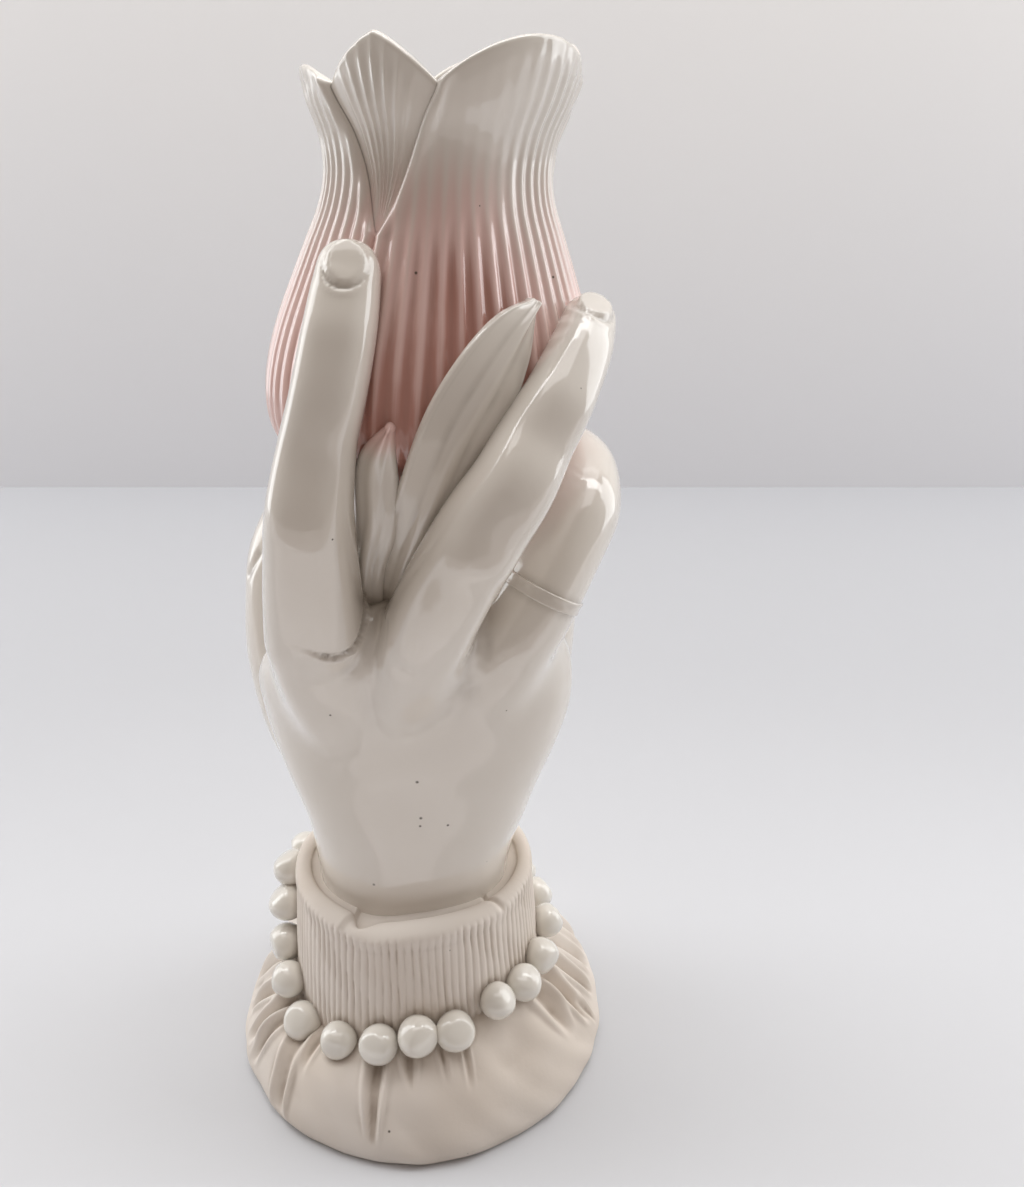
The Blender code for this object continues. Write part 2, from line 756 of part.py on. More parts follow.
def make_cuff():
    """The pleated band, with a rolled top edge that closes round the wrist."""
    count = CUFF_PLEATS * 2
    rings = [[Vector((0.0, 0.0, 0.35 * SEAM_HEIGHT))]]
    rings.append(cuff_ring(count, 0.35 * SEAM_HEIGHT, CUFF_BOTTOM_RADIUS - 1.0, 0.0))
    for height in (0.65 * SEAM_HEIGHT, SEAM_HEIGHT + 0.45 * CUFF_HEIGHT, CUFF_TOP - 1.4 * CUFF_EDGE):
        rings.append(cuff_ring(count, height, cuff_radius(height), 1.0))
    edge = 0.5 * CUFF_EDGE
    rings.append(cuff_ring(count // 4, CUFF_TOP - 2.0 * edge, CUFF_TOP_RADIUS + 0.4, 0.0))
    rings.append(cuff_ring(count // 4, CUFF_TOP - 0.9 * edge, CUFF_TOP_RADIUS + 0.5, 0.0))
    rings.append(cuff_ring(count // 4, CUFF_TOP, CUFF_TOP_RADIUS - edge, 0.0))
    for share, sink in ((0.55, 0.1 * CUFF_EDGE), (1.0, CUFF_CREVICE)):
        rings.append(lip_ring(count // 4, share, sink))
    rings.append([Vector((0.0, 0.0, CUFF_TOP - CUFF_CREVICE))])
    return loft("cuff_form", rings)


def cuff_radius(height):
    """Radius of the cuff's outside at a height."""
    taper = (height - SEAM_HEIGHT) / CUFF_HEIGHT
    return CUFF_BOTTOM_RADIUS + (CUFF_TOP_RADIUS - CUFF_BOTTOM_RADIUS) * max(taper, 0.0)


def cuff_ring(count, height, radius, pleated):
    """Ring of the cuff's outside. Every second point sits in a pleat's groove."""
    points = []
    for i in range(count):
        azimuth = 360.0 * i / count
        groove = PLEAT_DEPTH * pleated * (i % 2)
        wave = 0.35 * math.sin(math.radians(3.0 * azimuth)) * (height > SEAM_HEIGHT)
        spot = turned(azimuth) * (radius - groove) + Vector((-0.7, 0.0, height + wave))
        points.append(spot)
    return points


def lip_ring(count, share, sink):
    """Ring on top of the rolled edge, a share of the way in to the wrist."""
    points = []
    for i in range(count):
        azimuth = 360.0 * i / count
        way = turned(azimuth)
        outer = way * (CUFF_TOP_RADIUS - 0.5 * CUFF_EDGE)
        inner = Vector((way.x * (WRIST_HALF_WIDTH + 0.4), way.y * (WRIST_HALF_DEPTH + 0.4), 0.0))
        wave = 0.35 * math.sin(math.radians(3.0 * azimuth))
        spot = outer.lerp(inner, share) + Vector((-0.7, 0.0, CUFF_TOP + wave - sink))
        points.append(spot)
    return points


def frill_top(azimuth):
    """Height of the frill's upper edge, which dips at the front and climbs at the back."""
    return SEAM_HEIGHT + around(FRILL_RISE, azimuth)


def frill_radius(azimuth, share):
    """Radius and height on the frill, from the seam at share 0 to the table at share 1."""
    seam = frill_top(azimuth)
    profile_r = [
        (0.0, CUFF_BOTTOM_RADIUS - 5.0),
        (0.22, CUFF_BOTTOM_RADIUS + 2.0),
        (0.45, FOOT_RADIUS - 5.0),
        (0.65, FOOT_RADIUS - 1.6),
        (0.85, FOOT_RADIUS + 0.4),
        (1.0, FOOT_RADIUS - 0.4),
    ]
    profile_z = [
        (0.0, seam - 0.5),
        (0.22, 0.6 * seam + 0.4 * (FRILL_SHOULDER + 3.0)),
        (0.45, FRILL_SHOULDER + 1.5 + 0.1 * (seam - SEAM_HEIGHT)),
        (0.65, 0.66 * FRILL_SHOULDER),
        (0.85, 0.25 * FRILL_SHOULDER),
        (1.0, 0.0),
    ]
    return between(profile_r, share), between(profile_z, share)


def frill_columns():
    """Columns of the frill: azimuths under the pearls and at the foot, start, end, depth.

    Every fold has a column at its bottom and one on each side, and the cloth between
    folds has a column at least every FRILL_STEP degrees.
    """
    columns = []
    for top, foot, start, end, half_width, deep in FOLDS:
        columns.append((top - 1.4 * half_width, foot - 0.9 * half_width, start, end, 0.0))
        columns.append((top, foot, start, end, deep))
        columns.append((top + 1.4 * half_width, foot + 0.9 * half_width, start, end, 0.0))
    columns.sort()
    filled = []
    for column, after in zip(columns, columns[1:] + columns[:1]):
        filled.append(column)
        gap = (after[0] - column[0]) % 360.0
        foot_gap = (after[1] - column[1]) % 360.0
        extra = int(gap / FRILL_STEP)
        for i in range(extra):
            share = (i + 1) / (extra + 1)
            top, foot = column[0] + share * gap, column[1] + share * foot_gap
            filled.append((top, foot, column[2], column[3], 0.0))
    return filled


def make_frill():
    """The gathered cloth foot, with folds that run out from under the pearls."""
    columns = frill_columns()
    rings = [[Vector((0.0, 0.0, 0.0))]]
    for share in reversed(FRILL_ROWS):
        ring = []
        for top, foot, start, end, deep in columns:
            run = min(max((share - start) / (end - start), 0.0), 1.0)
            azimuth = top + (foot - top) * run
            radius, height = frill_radius(azimuth, share)
            inside = min((share - start + 0.08) / 0.14, (end - share) / 0.25, 1.0)
            depth = deep * max(inside, 0.0)
            spot = turned(azimuth) * (radius - 0.75 * depth)
            spot.z = max(height - 0.65 * depth, 0.0)
            ring.append(spot)
        rings.append(ring)
    rings.append([Vector((0.0, 0.0, SEAM_HEIGHT))])
    return loft("frill_form", rings)


def make_pearls():
    """The bracelet: pearls seated a little way into the cuff and the frill."""
    form = bmesh.new()
    for azimuth, rise in PEARLS:
        height = SEAM_HEIGHT + rise
        carried = cuff_radius(height) + PEARL_RADIUS - PEARL_SEAT
        seat = turned(azimuth) * carried + Vector((-0.7, 0.0, height))
        turn = Matrix.Rotation(math.radians(azimuth), 4, "Z")
        bmesh.ops.create_uvsphere(
            form,
            u_segments=8,
            v_segments=5,
            radius=PEARL_RADIUS,
            matrix=Matrix.Translation(seat) @ turn,
        )
    return finish("pearl_form", form)


def make_hollow():
    """The cutter for the open hollow that a cast leaves under the foot and in the wrist."""
    under = 2.0
    wrist_x = WRIST_HALF_WIDTH - HOLLOW_WALL
    wrist_y = WRIST_HALF_DEPTH - HOLLOW_WALL
    foot = FOOT_RADIUS - FOOT_RIM
    profile = [
        (-under, foot, foot),
        (0.35 * FRILL_SHOULDER, foot - 1.0, foot - 1.0),
        (0.62 * FRILL_SHOULDER, foot - 5.0, foot - 5.0),
        (0.9 * SEAM_HEIGHT, wrist_x + HOLLOW_FLARE_X, wrist_y + HOLLOW_FLARE_Y),
        (CUFF_TOP, wrist_x, wrist_y),
        (HOLLOW_TOP - 5.0, wrist_x, wrist_y),
        (HOLLOW_TOP - 1.5, 0.7 * wrist_x, 0.7 * wrist_y),
    ]
    rings = []
    for height, half_x, half_y in profile:
        ring = []
        for i in range(HOLLOW_SEGMENTS):
            way = turned(360.0 * i / HOLLOW_SEGMENTS)
            ring.append(Vector((way.x * half_x, way.y * half_y, height)))
        rings.append(ring)
    rings.append([Vector((0.0, 0.0, HOLLOW_TOP))])
    return loft("hollow_cutter", rings)


# Joining


def joined(name, forms):
    """One object that holds the meshes of several."""
    form = bmesh.new()
    for obj in forms:
        form.from_mesh(obj.data)
        bpy.data.objects.remove(obj)
    return finish(name, form)


def settled(obj):
    """The object with its modifiers applied to its mesh, and slivers closed up."""
    graph = bpy.context.evaluated_depsgraph_get()
    mesh = bpy.data.meshes.new_from_object(obj.evaluated_get(graph))
    obj.modifiers.clear()
    obj.data = mesh
    form = bmesh.new()
    form.from_mesh(mesh)
    bmesh.ops.dissolve_degenerate(form, dist=SLIVER, edges=form.edges)
    form.to_mesh(mesh)
    form.free()
    return obj


def fill_pockets(obj):
    """Drops the walls of sealed pockets between fused forms, which a casting fills."""
    form = bmesh.new()
    form.from_mesh(obj.data)
    unseen = set(form.faces)
    while unseen:
        island = {unseen.pop()}
        edge = list(island)
        while edge:
            for side in edge.pop().edges:
                fresh = [face for face in side.link_faces if face in unseen]
                unseen.difference_update(fresh)
                island.update(fresh)
                edge.extend(fresh)
        volume = 0.0
        for face in island:
            volume += face.normal.dot(face.calc_center_median()) * face.calc_area()
        if volume < 0.0:
            bmesh.ops.delete(form, geom=list(island), context="FACES")
    form.to_mesh(obj.data)
    form.free()


def combine(target, other, operation):
    """Adds another form to the target, or cuts it away, and removes it."""
    step = target.modifiers.new(other.name, "BOOLEAN")
    step.operation = operation
    step.solver = "EXACT"
    step.object = other
    settled(target)
    bpy.data.objects.remove(other)


def porcelain():
    """White glazed porcelain."""
    material = bpy.data.materials.new("porcelain")
    material.use_nodes = True
    shader = material.node_tree.nodes["Principled BSDF"]
    shader.inputs["Base Color"].default_value = GLAZE_WHITE
    shader.inputs["Roughness"].default_value = 0.25
    shader.inputs["Metallic"].default_value = 0.0
    return material


def build():
    """The whole vase as one solid."""
    for obj in list(bpy.data.objects):
        bpy.data.objects.remove(obj)
    vase = settled(make_hand())
    index = limb_path(INDEX_REACH, INDEX_GRIP)
    middle = limb_path(MIDDLE_REACH, MIDDLE_GRIP)
    forms = [
        make_leaf("small_leaf_form", SMALL_LEAF_FOOT, SMALL_LEAF_TOP),
        make_leaf("large_leaf_form", LARGE_LEAF_FOOT, LARGE_LEAF_TOP),
        make_flower(),
        make_nail("index_nail_form", index, INDEX_FACING, INDEX_NAIL_BACK),
        make_nail("middle_nail_form", middle, MIDDLE_FACING, MIDDLE_NAIL_BACK),
        make_band(),
        make_cuff(),
        make_frill(),
        make_pearls(),
    ]
    for form in forms:
        combine(vase, form, "UNION")
    fill_pockets(vase)
    combine(vase, make_hollow(), "DIFFERENCE")
    vase.data.transform(Matrix.Scale(METRES_PER_MM, 4))
    vase.name = "vase"
    vase.data.name = "vase"
    vase.data.materials.clear()
    vase.data.materials.append(porcelain())
    vase.data.shade_smooth()
    vase.data.set_sharp_from_angle(angle=math.radians(35.0))


build()
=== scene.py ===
"""Looks of a porcelain hand vase: a right hand rises from a pleated cuff and holds a tulip cup.

Sizes in the classes are in millimetres. The finished meshes are in metres, in the frame of the
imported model: +Z is up, the centre of the foot is the origin and the back of the hand faces -Y.
Azimuths are in degrees, counted from the front, and grow towards +X.
"""
import logging
import math
from dataclasses import dataclass, field
from enum import Enum
from typing import Callable

import bmesh
import bpy
import numpy as np
from mathutils import Matrix, Vector
from mathutils.bvhtree import BVHTree


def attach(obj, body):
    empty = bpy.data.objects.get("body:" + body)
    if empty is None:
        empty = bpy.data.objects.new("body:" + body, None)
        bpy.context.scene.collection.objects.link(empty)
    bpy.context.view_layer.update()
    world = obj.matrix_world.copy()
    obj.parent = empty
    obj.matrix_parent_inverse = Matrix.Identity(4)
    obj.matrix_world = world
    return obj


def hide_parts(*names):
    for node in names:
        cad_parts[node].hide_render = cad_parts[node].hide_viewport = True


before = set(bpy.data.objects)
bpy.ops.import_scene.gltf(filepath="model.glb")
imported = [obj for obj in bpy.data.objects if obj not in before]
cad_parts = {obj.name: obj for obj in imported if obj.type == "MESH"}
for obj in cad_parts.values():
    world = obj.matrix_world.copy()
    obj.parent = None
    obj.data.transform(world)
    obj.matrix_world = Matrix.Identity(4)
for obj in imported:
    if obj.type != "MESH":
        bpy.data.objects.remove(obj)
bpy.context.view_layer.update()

Array = np.ndarray
Rule = Callable[[Array, Array], Array]
Spot = tuple[float, float, float]
Colour = tuple[float, float, float]
Span = tuple[float, float]
Table = tuple[tuple[float, ...], ...]

MM = 0.001
BODY = "root"
NODE = "vase"
HOLLOW = "hollow"
BLUSH = "blush"

# Specks that show in the photo: place and radius in millimetres.
MARKS = (
    (2.5, -17.3, 75.5, 0.27),
    (2.8, -16.5, 66.7, 0.27),
    (2.6, -16.5, 64.8, 0.22),
    (-7.2, -15.6, 49.9, 0.26),
    (-18.8, -20.4, 97.5, 0.19),
    (-12.1, -20.4, 92.0, 0.19),
    (5.7, -15.6, 167.2, 0.2),
)

# Darkness of a mark's middle, over 1 so that only its edge is soft.
MARK_CORE = 1.6

# Irregular waves: how many are added up, the last of their phases in radians, and their heights.
WANDER_WAVES = 4
WANDER_PHASE = 6.28
WANDER_HEIGHTS = (0.3, 0.6)

# Where the noise textures are stretched from none to full.
CLOUD_RANGE = (0.3, 0.7)
STREAK_RANGE = (0.25, 0.75)

# Softening rounds that find grooves, and how near in millimetres another form must come for dirt and painted
# shade where pieces meet.
HOLLOW_ROUNDS = 10
CONTACT_REACH = 1.4

log = logging.getLogger("hand_vase")


# Numbers and curves


def ease(share: Array) -> Array:
    """Soft step from 0 to 1 as the share goes from 0 to 1."""
    share = np.clip(share, 0.0, 1.0)
    return share * share * (3.0 - 2.0 * share)


def hump(offset: Array) -> Array:
    """Round hump that is 1 high at 0 and has died away by 2."""
    return np.exp(-offset * offset)


def turned(azimuth: Array) -> Array:
    """Level unit vectors that point outwards at the azimuths."""
    angle = np.radians(azimuth)
    return np.stack([np.sin(angle), -np.cos(angle), np.zeros_like(angle)], axis=-1)


def apart(a: Array, b: Array) -> Array:
    """Smallest turn from azimuth b to azimuth a, from -180 to 180 degrees."""
    return (a - b + 180.0) % 360.0 - 180.0


def unit(vectors: Array) -> Array:
    """The vectors, each made one long."""
    return vectors / np.linalg.norm(vectors, axis=-1, keepdims=True)


def wander(azimuth: Array, waves: int, seed: int) -> Array:
    """Irregular wave round a full turn, about 1 high.

    Args:
        azimuth: Where to read it, in degrees.
        waves: About how many swells go round.
        seed: Chooses the wave.

    Returns:
        One value for each azimuth.
    """
    draw = np.random.default_rng(seed)
    total = np.zeros_like(azimuth)
    for step in range(WANDER_WAVES):
        count = waves + step * max(1, waves // 3)
        phase = draw.uniform(0.0, WANDER_PHASE)
        total += np.sin(np.radians(azimuth) * count + phase) * draw.uniform(*WANDER_HEIGHTS)
    return total


class Profile:
    """A smooth curve through (place, value) pairs."""

    def __init__(self, *knots: tuple[float, float], turn: float = 0.0) -> None:
        """Keeps the pairs.

        Args:
            knots: The pairs, in order of place.
            turn: Where above 0, the curve closes on itself after this much.
        """
        pairs = list(knots)
        if turn:
            pairs = [(k - turn, v) for k, v in pairs[-2:]] + pairs + [(k + turn, v) for k, v in pairs[:2]]
        self.turn = turn
        self.low = knots[0][0]
        self.places, self.values = np.array(pairs).T
        rise = np.diff(self.values) / np.diff(self.places)
        inner = (self.values[2:] - self.values[:-2]) / (self.places[2:] - self.places[:-2])
        self.slopes = np.concatenate([[0.5 * rise[0]], inner, [0.5 * rise[-1]]])

    def at(self, place: Array) -> Array:
        """Values of the curve at the places.

        Args:
            place: Where to read it.

        Returns:
            One value for each place.
        """
        if self.turn:
            place = self.low + (place - self.low) % self.turn
        i = np.clip(np.searchsorted(self.places, place) - 1, 0, len(self.places) - 2)
        span = self.places[i + 1] - self.places[i]
        t = np.clip((place - self.places[i]) / span, 0.0, 1.0)
        bend = span * t * (1.0 - t) * (self.slopes[i] * (1.0 - t) - self.slopes[i + 1] * t)
        ends = self.values[i] * (1 + 2 * t) * (1 - t) ** 2 + self.values[i + 1] * t * t * (3 - 2 * t)
        return ends + bend


class Path:
    """Stations along a limb, each a centre, a half width and a half depth."""

    SHORT_OF_END = 0.001
    HEADING_STEP = 0.05

    def __init__(self, stations: list[tuple[float, ...]]) -> None:
        """Keeps the stations as a table."""
        self.table = np.array(stations)
        self.last = len(stations) - 1.0 - self.SHORT_OF_END

    def at(self, t: Array) -> Array:
        """Stations on the smooth curve at t, where whole numbers are the given ones.

        Args:
            t: Places along the limb, counted in stations.

        Returns:
            A centre, half width and half depth for each t.
        """
        index = np.clip(t.astype(int), 0, len(self.table) - 2)
        t = (t - index)[:, None]
        a = self.table[np.maximum(index - 1, 0)]
        b = self.table[index]
        c = self.table[index + 1]
        d = self.table[np.minimum(index + 2, len(self.table) - 1)]
        return b + 0.5 * t * ((c - a) + t * ((2 * a - 5 * b + 4 * c - d) + t * (3 * b - a - 3 * c + d)))

    def heading(self, t: Array) -> Array:
        """Unit directions of the curve at t.

        Args:
            t: Places along the limb, counted in stations.

        Returns:
            One direction for each t.
        """
        ahead = self.at(np.minimum(t + self.HEADING_STEP, self.last))[:, :3]
        behind = self.at(np.maximum(t - self.HEADING_STEP, 0.0))[:, :3]
        return unit(ahead - behind)


# Mesh work


def sheet(columns: int, rows: int) -> bmesh.types.BMesh:
    """A flat grid from 0 to 1 each way, ready to be pressed into a form.

    Args:
        columns: Faces across.
        rows: Faces along.

    Returns:
        The grid.
    """
    form = bmesh.new()
    bmesh.ops.create_grid(form, x_segments=columns, y_segments=rows, size=0.5)
    bmesh.ops.translate(form, vec=(0.5, 0.5, 0.0), verts=form.verts)
    return form


def corners(form: bmesh.types.BMesh) -> Array:
    """Places of a form's corners."""
    return np.array([corner.co[:] for corner in form.verts])


def place_corners(form: bmesh.types.BMesh, spots: Array) -> None:
    """Moves a form's corners to the spots."""
    for corner, spot in zip(form.verts, spots.tolist()):
        corner.co = spot


def pressed(columns: int, rows: int, rule: Rule) -> bmesh.types.BMesh:
    """A grid pressed into a form, with its seams and poles welded.

    Args:
        columns: Faces across, which is the first coordinate.
        rows: Faces along, which is the second.
        rule: Gives the places of corners from their two coordinates, from 0 to 1.

    Returns:
        The form.
    """
    form = sheet(columns, rows)
    flat = corners(form)
    place_corners(form, rule(flat[:, 0], flat[:, 1]))
    return form


def merged(name: str, forms: list[bmesh.types.BMesh], weld: float = 0.002) -> bpy.types.Mesh:
    """One mesh of several forms, welded where they meet, faces outwards, still in millimetres.

    Args:
        name: Name of the mesh.
        forms: The forms, which are used up.
        weld: Corners nearer than this become one.

    Returns:
        The mesh.
    """
    whole = bmesh.new()
    for form in forms:
        part = bpy.data.meshes.new(name)
        form.to_mesh(part)
        form.free()
        whole.from_mesh(part)
        bpy.data.meshes.remove(part)
    bmesh.ops.remove_doubles(whole, verts=whole.verts, dist=weld)
    bmesh.ops.dissolve_degenerate(whole, dist=0.25 * weld, edges=whole.edges)
    bmesh.ops.recalc_face_normals(whole, faces=whole.faces)
    mesh = bpy.data.meshes.new(name)
    whole.to_mesh(mesh)
    whole.free()
    return mesh


def read_spots(mesh: bpy.types.Mesh) -> Array:
    """Places of a mesh's corners.

    Args:
        mesh: The mesh.

    Returns:
        One row for each corner.
    """
    spots = np.empty(len(mesh.vertices) * 3)
    mesh.vertices.foreach_get("co", spots)
    return spots.reshape(-1, 3)


def write_spots(mesh: bpy.types.Mesh, spots: Array) -> None:
    """Moves a mesh's corners to the spots."""
    mesh.vertices.foreach_set("co", spots.ravel())
    mesh.update()


def normals_of(mesh: bpy.types.Mesh) -> Array:
    """Outward directions at a mesh's corners.

    Args:
        mesh: The mesh.

    Returns:
        One row for each corner.
    """
    normals = np.empty(len(mesh.vertices) * 3)
    mesh.vertex_normals.foreach_get("vector", normals)
    return normals.reshape(-1, 3)


def put_values(mesh: bpy.types.Mesh, name: str, values: Array) -> None:
    """Stores one number for each corner under a name that a material can read."""
    attribute = mesh.attributes.get(name) or mesh.attributes.new(name, "FLOAT", "POINT")
    attribute.data.foreach_set("value", values.astype(np.float32))


def softened(mesh: bpy.types.Mesh, rounds: int) -> Array:
    """Places of the corners once each has been drawn to the mean of its neighbours.

    Args:
        mesh: The mesh, which isn't changed.
        rounds: How many times the corners are drawn in.

    Returns:
        The softened places.
    """
    spots = read_spots(mesh)
    ends = np.empty(len(mesh.edges) * 2, dtype=np.int64)
    mesh.edges.foreach_get("vertices", ends)
    start, stop = ends.reshape(-1, 2).T
    count = len(spots)
    degree = np.maximum(np.bincount(start, minlength=count) + np.bincount(stop, minlength=count), 1)
    for _ in range(rounds):
        drawn = np.empty_like(spots)
        for axis in range(3):
            total = np.bincount(start, weights=spots[stop, axis], minlength=count)
            total += np.bincount(stop, weights=spots[start, axis], minlength=count)
            drawn[:, axis] = total / degree
        spots = 0.5 * spots + 0.5 * drawn
    return spots


def find_hollows(mesh: bpy.types.Mesh, rounds: int, full: float) -> Array:
    """How deep each corner lies in a groove or corner of the surface.

    Args:
        mesh: The mesh.
        rounds: Softening rounds, which set how wide a groove is found.
        full: Depth in millimetres that counts as 1.

    Returns:
        Values from 0 on plain and raised places to 1 deep in a groove.
    """
    sunk = np.sum((softened(mesh, rounds) - read_spots(mesh)) * normals_of(mesh), axis=1)
    return np.clip(sunk / full, 0.0, 1.0)


def tree_of(mesh: bpy.types.Mesh) -> BVHTree:
    """Search tree of a mesh's faces.

    Args:
        mesh: The mesh.

    Returns:
        The tree.
    """
    form = bmesh.new()
    form.from_mesh(mesh)
    tree = BVHTree.FromBMesh(form)
    form.free()
    return tree


def closeness(mesh: bpy.types.Mesh, others: list[BVHTree], reach: float) -> Array:
    """How near each corner lies to other forms, from 0 at the reach to 1 in contact.

    Args:
        mesh: The mesh whose corners are measured.
        others: Search trees of the other forms.
        reach: Distance in millimetres at which nothing is felt.

    Returns:
        One value for each corner.
    """
    near = np.zeros(len(mesh.vertices))
    for tree in others:
        for index, vertex in enumerate(mesh.vertices):
            distance = tree.find_nearest(vertex.co, reach)[3]
            if distance is not None:
                near[index] = max(near[index], 1.0 - distance / reach)
    return near


def in_scene(name: str, data: bpy.types.ID) -> bpy.types.Object:
    """A new object in the scene that carries a mesh, camera or lamp.

    Args:
        name: Name of the object.
        data: What it carries.

    Returns:
        The object.
    """
    thing = bpy.data.objects.new(name, data)
    bpy.context.scene.collection.objects.link(thing)
    return thing


def applied(*carriers: bpy.types.Object) -> bpy.types.Mesh:
    """Mesh that an object's modifiers make, after which the object leaves the scene.

    Args:
        carriers: The object, then any that its modifiers need, which leave with it.

    Returns:
        The new mesh.
    """
    graph = bpy.context.evaluated_depsgraph_get()
    mesh = bpy.data.meshes.new_from_object(carriers[0].evaluated_get(graph))
    for carrier in carriers:
        bpy.data.objects.remove(carrier)
    return mesh


# Finishes


class Graph:
    """Adds and links the nodes of one node tree."""

    def __init__(self, tree: bpy.types.NodeTree) -> None:
        """Keeps the tree."""
        self.tree = tree

    def node(self, kind: str, settings: dict | None = None, **inputs: object) -> bpy.types.Node:
        """Adds a node.

        Args:
            kind: The node's type, without the leading ShaderNode.
            settings: Properties of the node.
            inputs: Its inputs, named as for feed.

        Returns:
            The node.
        """
        node = self.tree.nodes.new("ShaderNode" + kind)
        for key, value in (settings or {}).items():
            setattr(node, key, value)
        self.feed(node, **inputs)
        return node

    def feed(self, node: bpy.types.Node, **inputs: object) -> None:
        """Sets or links inputs of a node.

        Args:
            node: The node.
            inputs: A value, or an output to link, for each named input. In a name, a single
                underscore stands for a space, and a name such as at_0 means the input's number.
        """
        for key, value in inputs.items():
            name = int(key[3:]) if key.startswith("at_") else key.replace("_", " ")
            if isinstance(value, bpy.types.NodeSocket):
                self.tree.links.new(value, node.inputs[name])
            else:
                node.inputs[name].default_value = value

    def math(self, operation: str, a: object, b: object = 0.0, clamp: bool = False) -> bpy.types.NodeSocket:
        """Output of a Math node."""
        settings = {"operation": operation, "use_clamp": clamp}
        return self.node("Math", settings, at_0=a, at_1=b).outputs[0]

    def blend(self, factor: object, a: object, b: object) -> bpy.types.NodeSocket:
        """Output of a Mix node that goes from colour a to colour b."""
        settings = {"data_type": "RGBA"}
        return self.node("Mix", settings, at_0=factor, at_6=a, at_7=b).outputs[2]

    def noise(self, vector: object, scale: object, detail: float = 2.0) -> bpy.types.NodeSocket:
        """Grey output of a Noise Texture."""
        return self.node("TexNoise", None, Vector=vector, Scale=scale, Detail=detail).outputs["Fac"]

    def window(self, value: object, low: float, high: float) -> bpy.types.NodeSocket:
        """The value stretched so that low becomes 0 and high becomes 1, and held there."""
        names = {"interpolation_type": "SMOOTHSTEP"}
        return self.node("MapRange", names, Value=value, From_Min=low, From_Max=high).outputs["Result"]

    def value(self, name: str) -> bpy.types.NodeSocket:
        """A number that a piece's mesh holds under a name."""
        return self.node("Attribute", {"attribute_name": name}).outputs["Fac"]

    def place(self) -> bpy.types.NodeSocket:
        """Places on the piece, in metres."""
        return self.node("TexCoord").outputs["Object"]

    def group(self, tree: bpy.types.NodeTree, **inputs: object) -> bpy.types.Node:
        """Adds a node group with its values."""
        return self.node("Group", {"node_tree": tree}, **inputs)


def new_group(name: str, inputs: dict[str, float], output: str) -> tuple[bpy.types.NodeTree, Graph, dict]:
    """Starts a node group of numbers.

    Args:
        name: Name of the group.
        inputs: Each input's name and usual value.
        output: Name of its one output.

    Returns:
        The group, its graph, and its inner sockets by name.
    """
    tree = bpy.data.node_groups.new(name, "ShaderNodeTree")
    for key, value in inputs.items():
        socket = tree.interface.new_socket(key, in_out="INPUT", socket_type="NodeSocketFloat")
        socket.default_value = value
    tree.interface.new_socket(output, in_out="OUTPUT", socket_type="NodeSocketFloat")
    graph = Graph(tree)
    start = tree.nodes.new("NodeGroupInput")
    end = tree.nodes.new("NodeGroupOutput")
    sockets = {key: start.outputs[key] for key in inputs}
    sockets[output] = end.inputs[output]
    return tree, graph, sockets


def speck_group() -> bpy.types.NodeTree:
    """Small dark specks of iron in the body, strewn thinly, and the marks at their places.

    Returns:
        The group.
    """
    usual = {"Cells": 260.0, "Size": 0.05, "Share": 0.06}
    tree, graph, sockets = new_group("iron specks", usual, "Mask")
    smallest, soft_edge = 0.4, 0.5
    cells = graph.node("TexVoronoi", None, Vector=graph.place(), Scale=sockets["Cells"])
    drawn = graph.node("SeparateColor", None, Color=cells.outputs["Color"])
    chosen = graph.math("LESS_THAN", drawn.outputs[0], sockets["Share"])
    size = graph.math("MULTIPLY", sockets["Size"], graph.math("ADD", drawn.outputs[1], smallest))
    edge = graph.math("SUBTRACT", size, cells.outputs["Distance"])
    dot = graph.math("DIVIDE", edge, graph.math("MULTIPLY", size, soft_edge), clamp=True)
    dots = graph.math("MULTIPLY", dot, chosen)
    for *spot, radius in MARKS:
        spot = [MM * c for c in spot]
        away = graph.node("VectorMath", {"operation": "DISTANCE"}, at_0=graph.place(), at_1=spot)
        near = graph.math("DIVIDE", away.outputs["Value"], MM * radius)
        dots = graph.math("MAXIMUM", dots, graph.math("SUBTRACT", MARK_CORE, near, clamp=True))
    tree.links.new(dots, sockets["Mask"])
    return tree


def dirt_and_shade_group() -> bpy.types.NodeTree:
    """Dirt that has settled in the grooves, patchy, mixed with painted shade in the grooves and where other
    pieces lie close.

    Returns:
        The group.
    """
    tree, graph, sockets = new_group("settled dirt and painted shade", {"Strength": 0.5}, "Mask")
    scale, patchiness = 160.0, 0.6
    patches = graph.window(graph.noise(graph.place(), scale, 3.0), *CLOUD_RANGE)
    patchy = graph.math("ADD", graph.math("MULTIPLY", patches, patchiness), 1.0 - patchiness)
    held = graph.math("MULTIPLY", graph.value(HOLLOW), patchy)
    tree.links.new(graph.math("MULTIPLY", held, sockets["Strength"], clamp=True), sockets["Mask"])
    return tree


def drift_group() -> bpy.types.NodeTree:
    """Slow drift of tone over the surface.

    Returns:
        The group.
    """
    tree, graph, sockets = new_group("tone drift", {"Scale": 25.0}, "Mask")
    cloud = graph.noise(graph.place(), sockets["Scale"], 3.0)
    tree.links.new(graph.window(cloud, *CLOUD_RANGE), sockets["Mask"])
    return tree


def skin_group() -> bpy.types.NodeTree:
    """Height of an uneven surface: slow swells and a fine grain, in metres.

    Returns:
        The group.
    """
    usual = {"Swell": 0.00004, "Grain": 0.00001, "Grain Scale": 1500.0}
    tree, graph, sockets = new_group("uneven surface", usual, "Height")
    swell_scale = 120.0
    swell = graph.math("MULTIPLY", graph.noise(graph.place(), swell_scale, 1.0), sockets["Swell"])
    grain = graph.noise(graph.place(), sockets["Grain Scale"])
    fine = graph.math("MULTIPLY", grain, sockets["Grain"])
    tree.links.new(graph.math("ADD", swell, fine), sockets["Height"])
    return tree


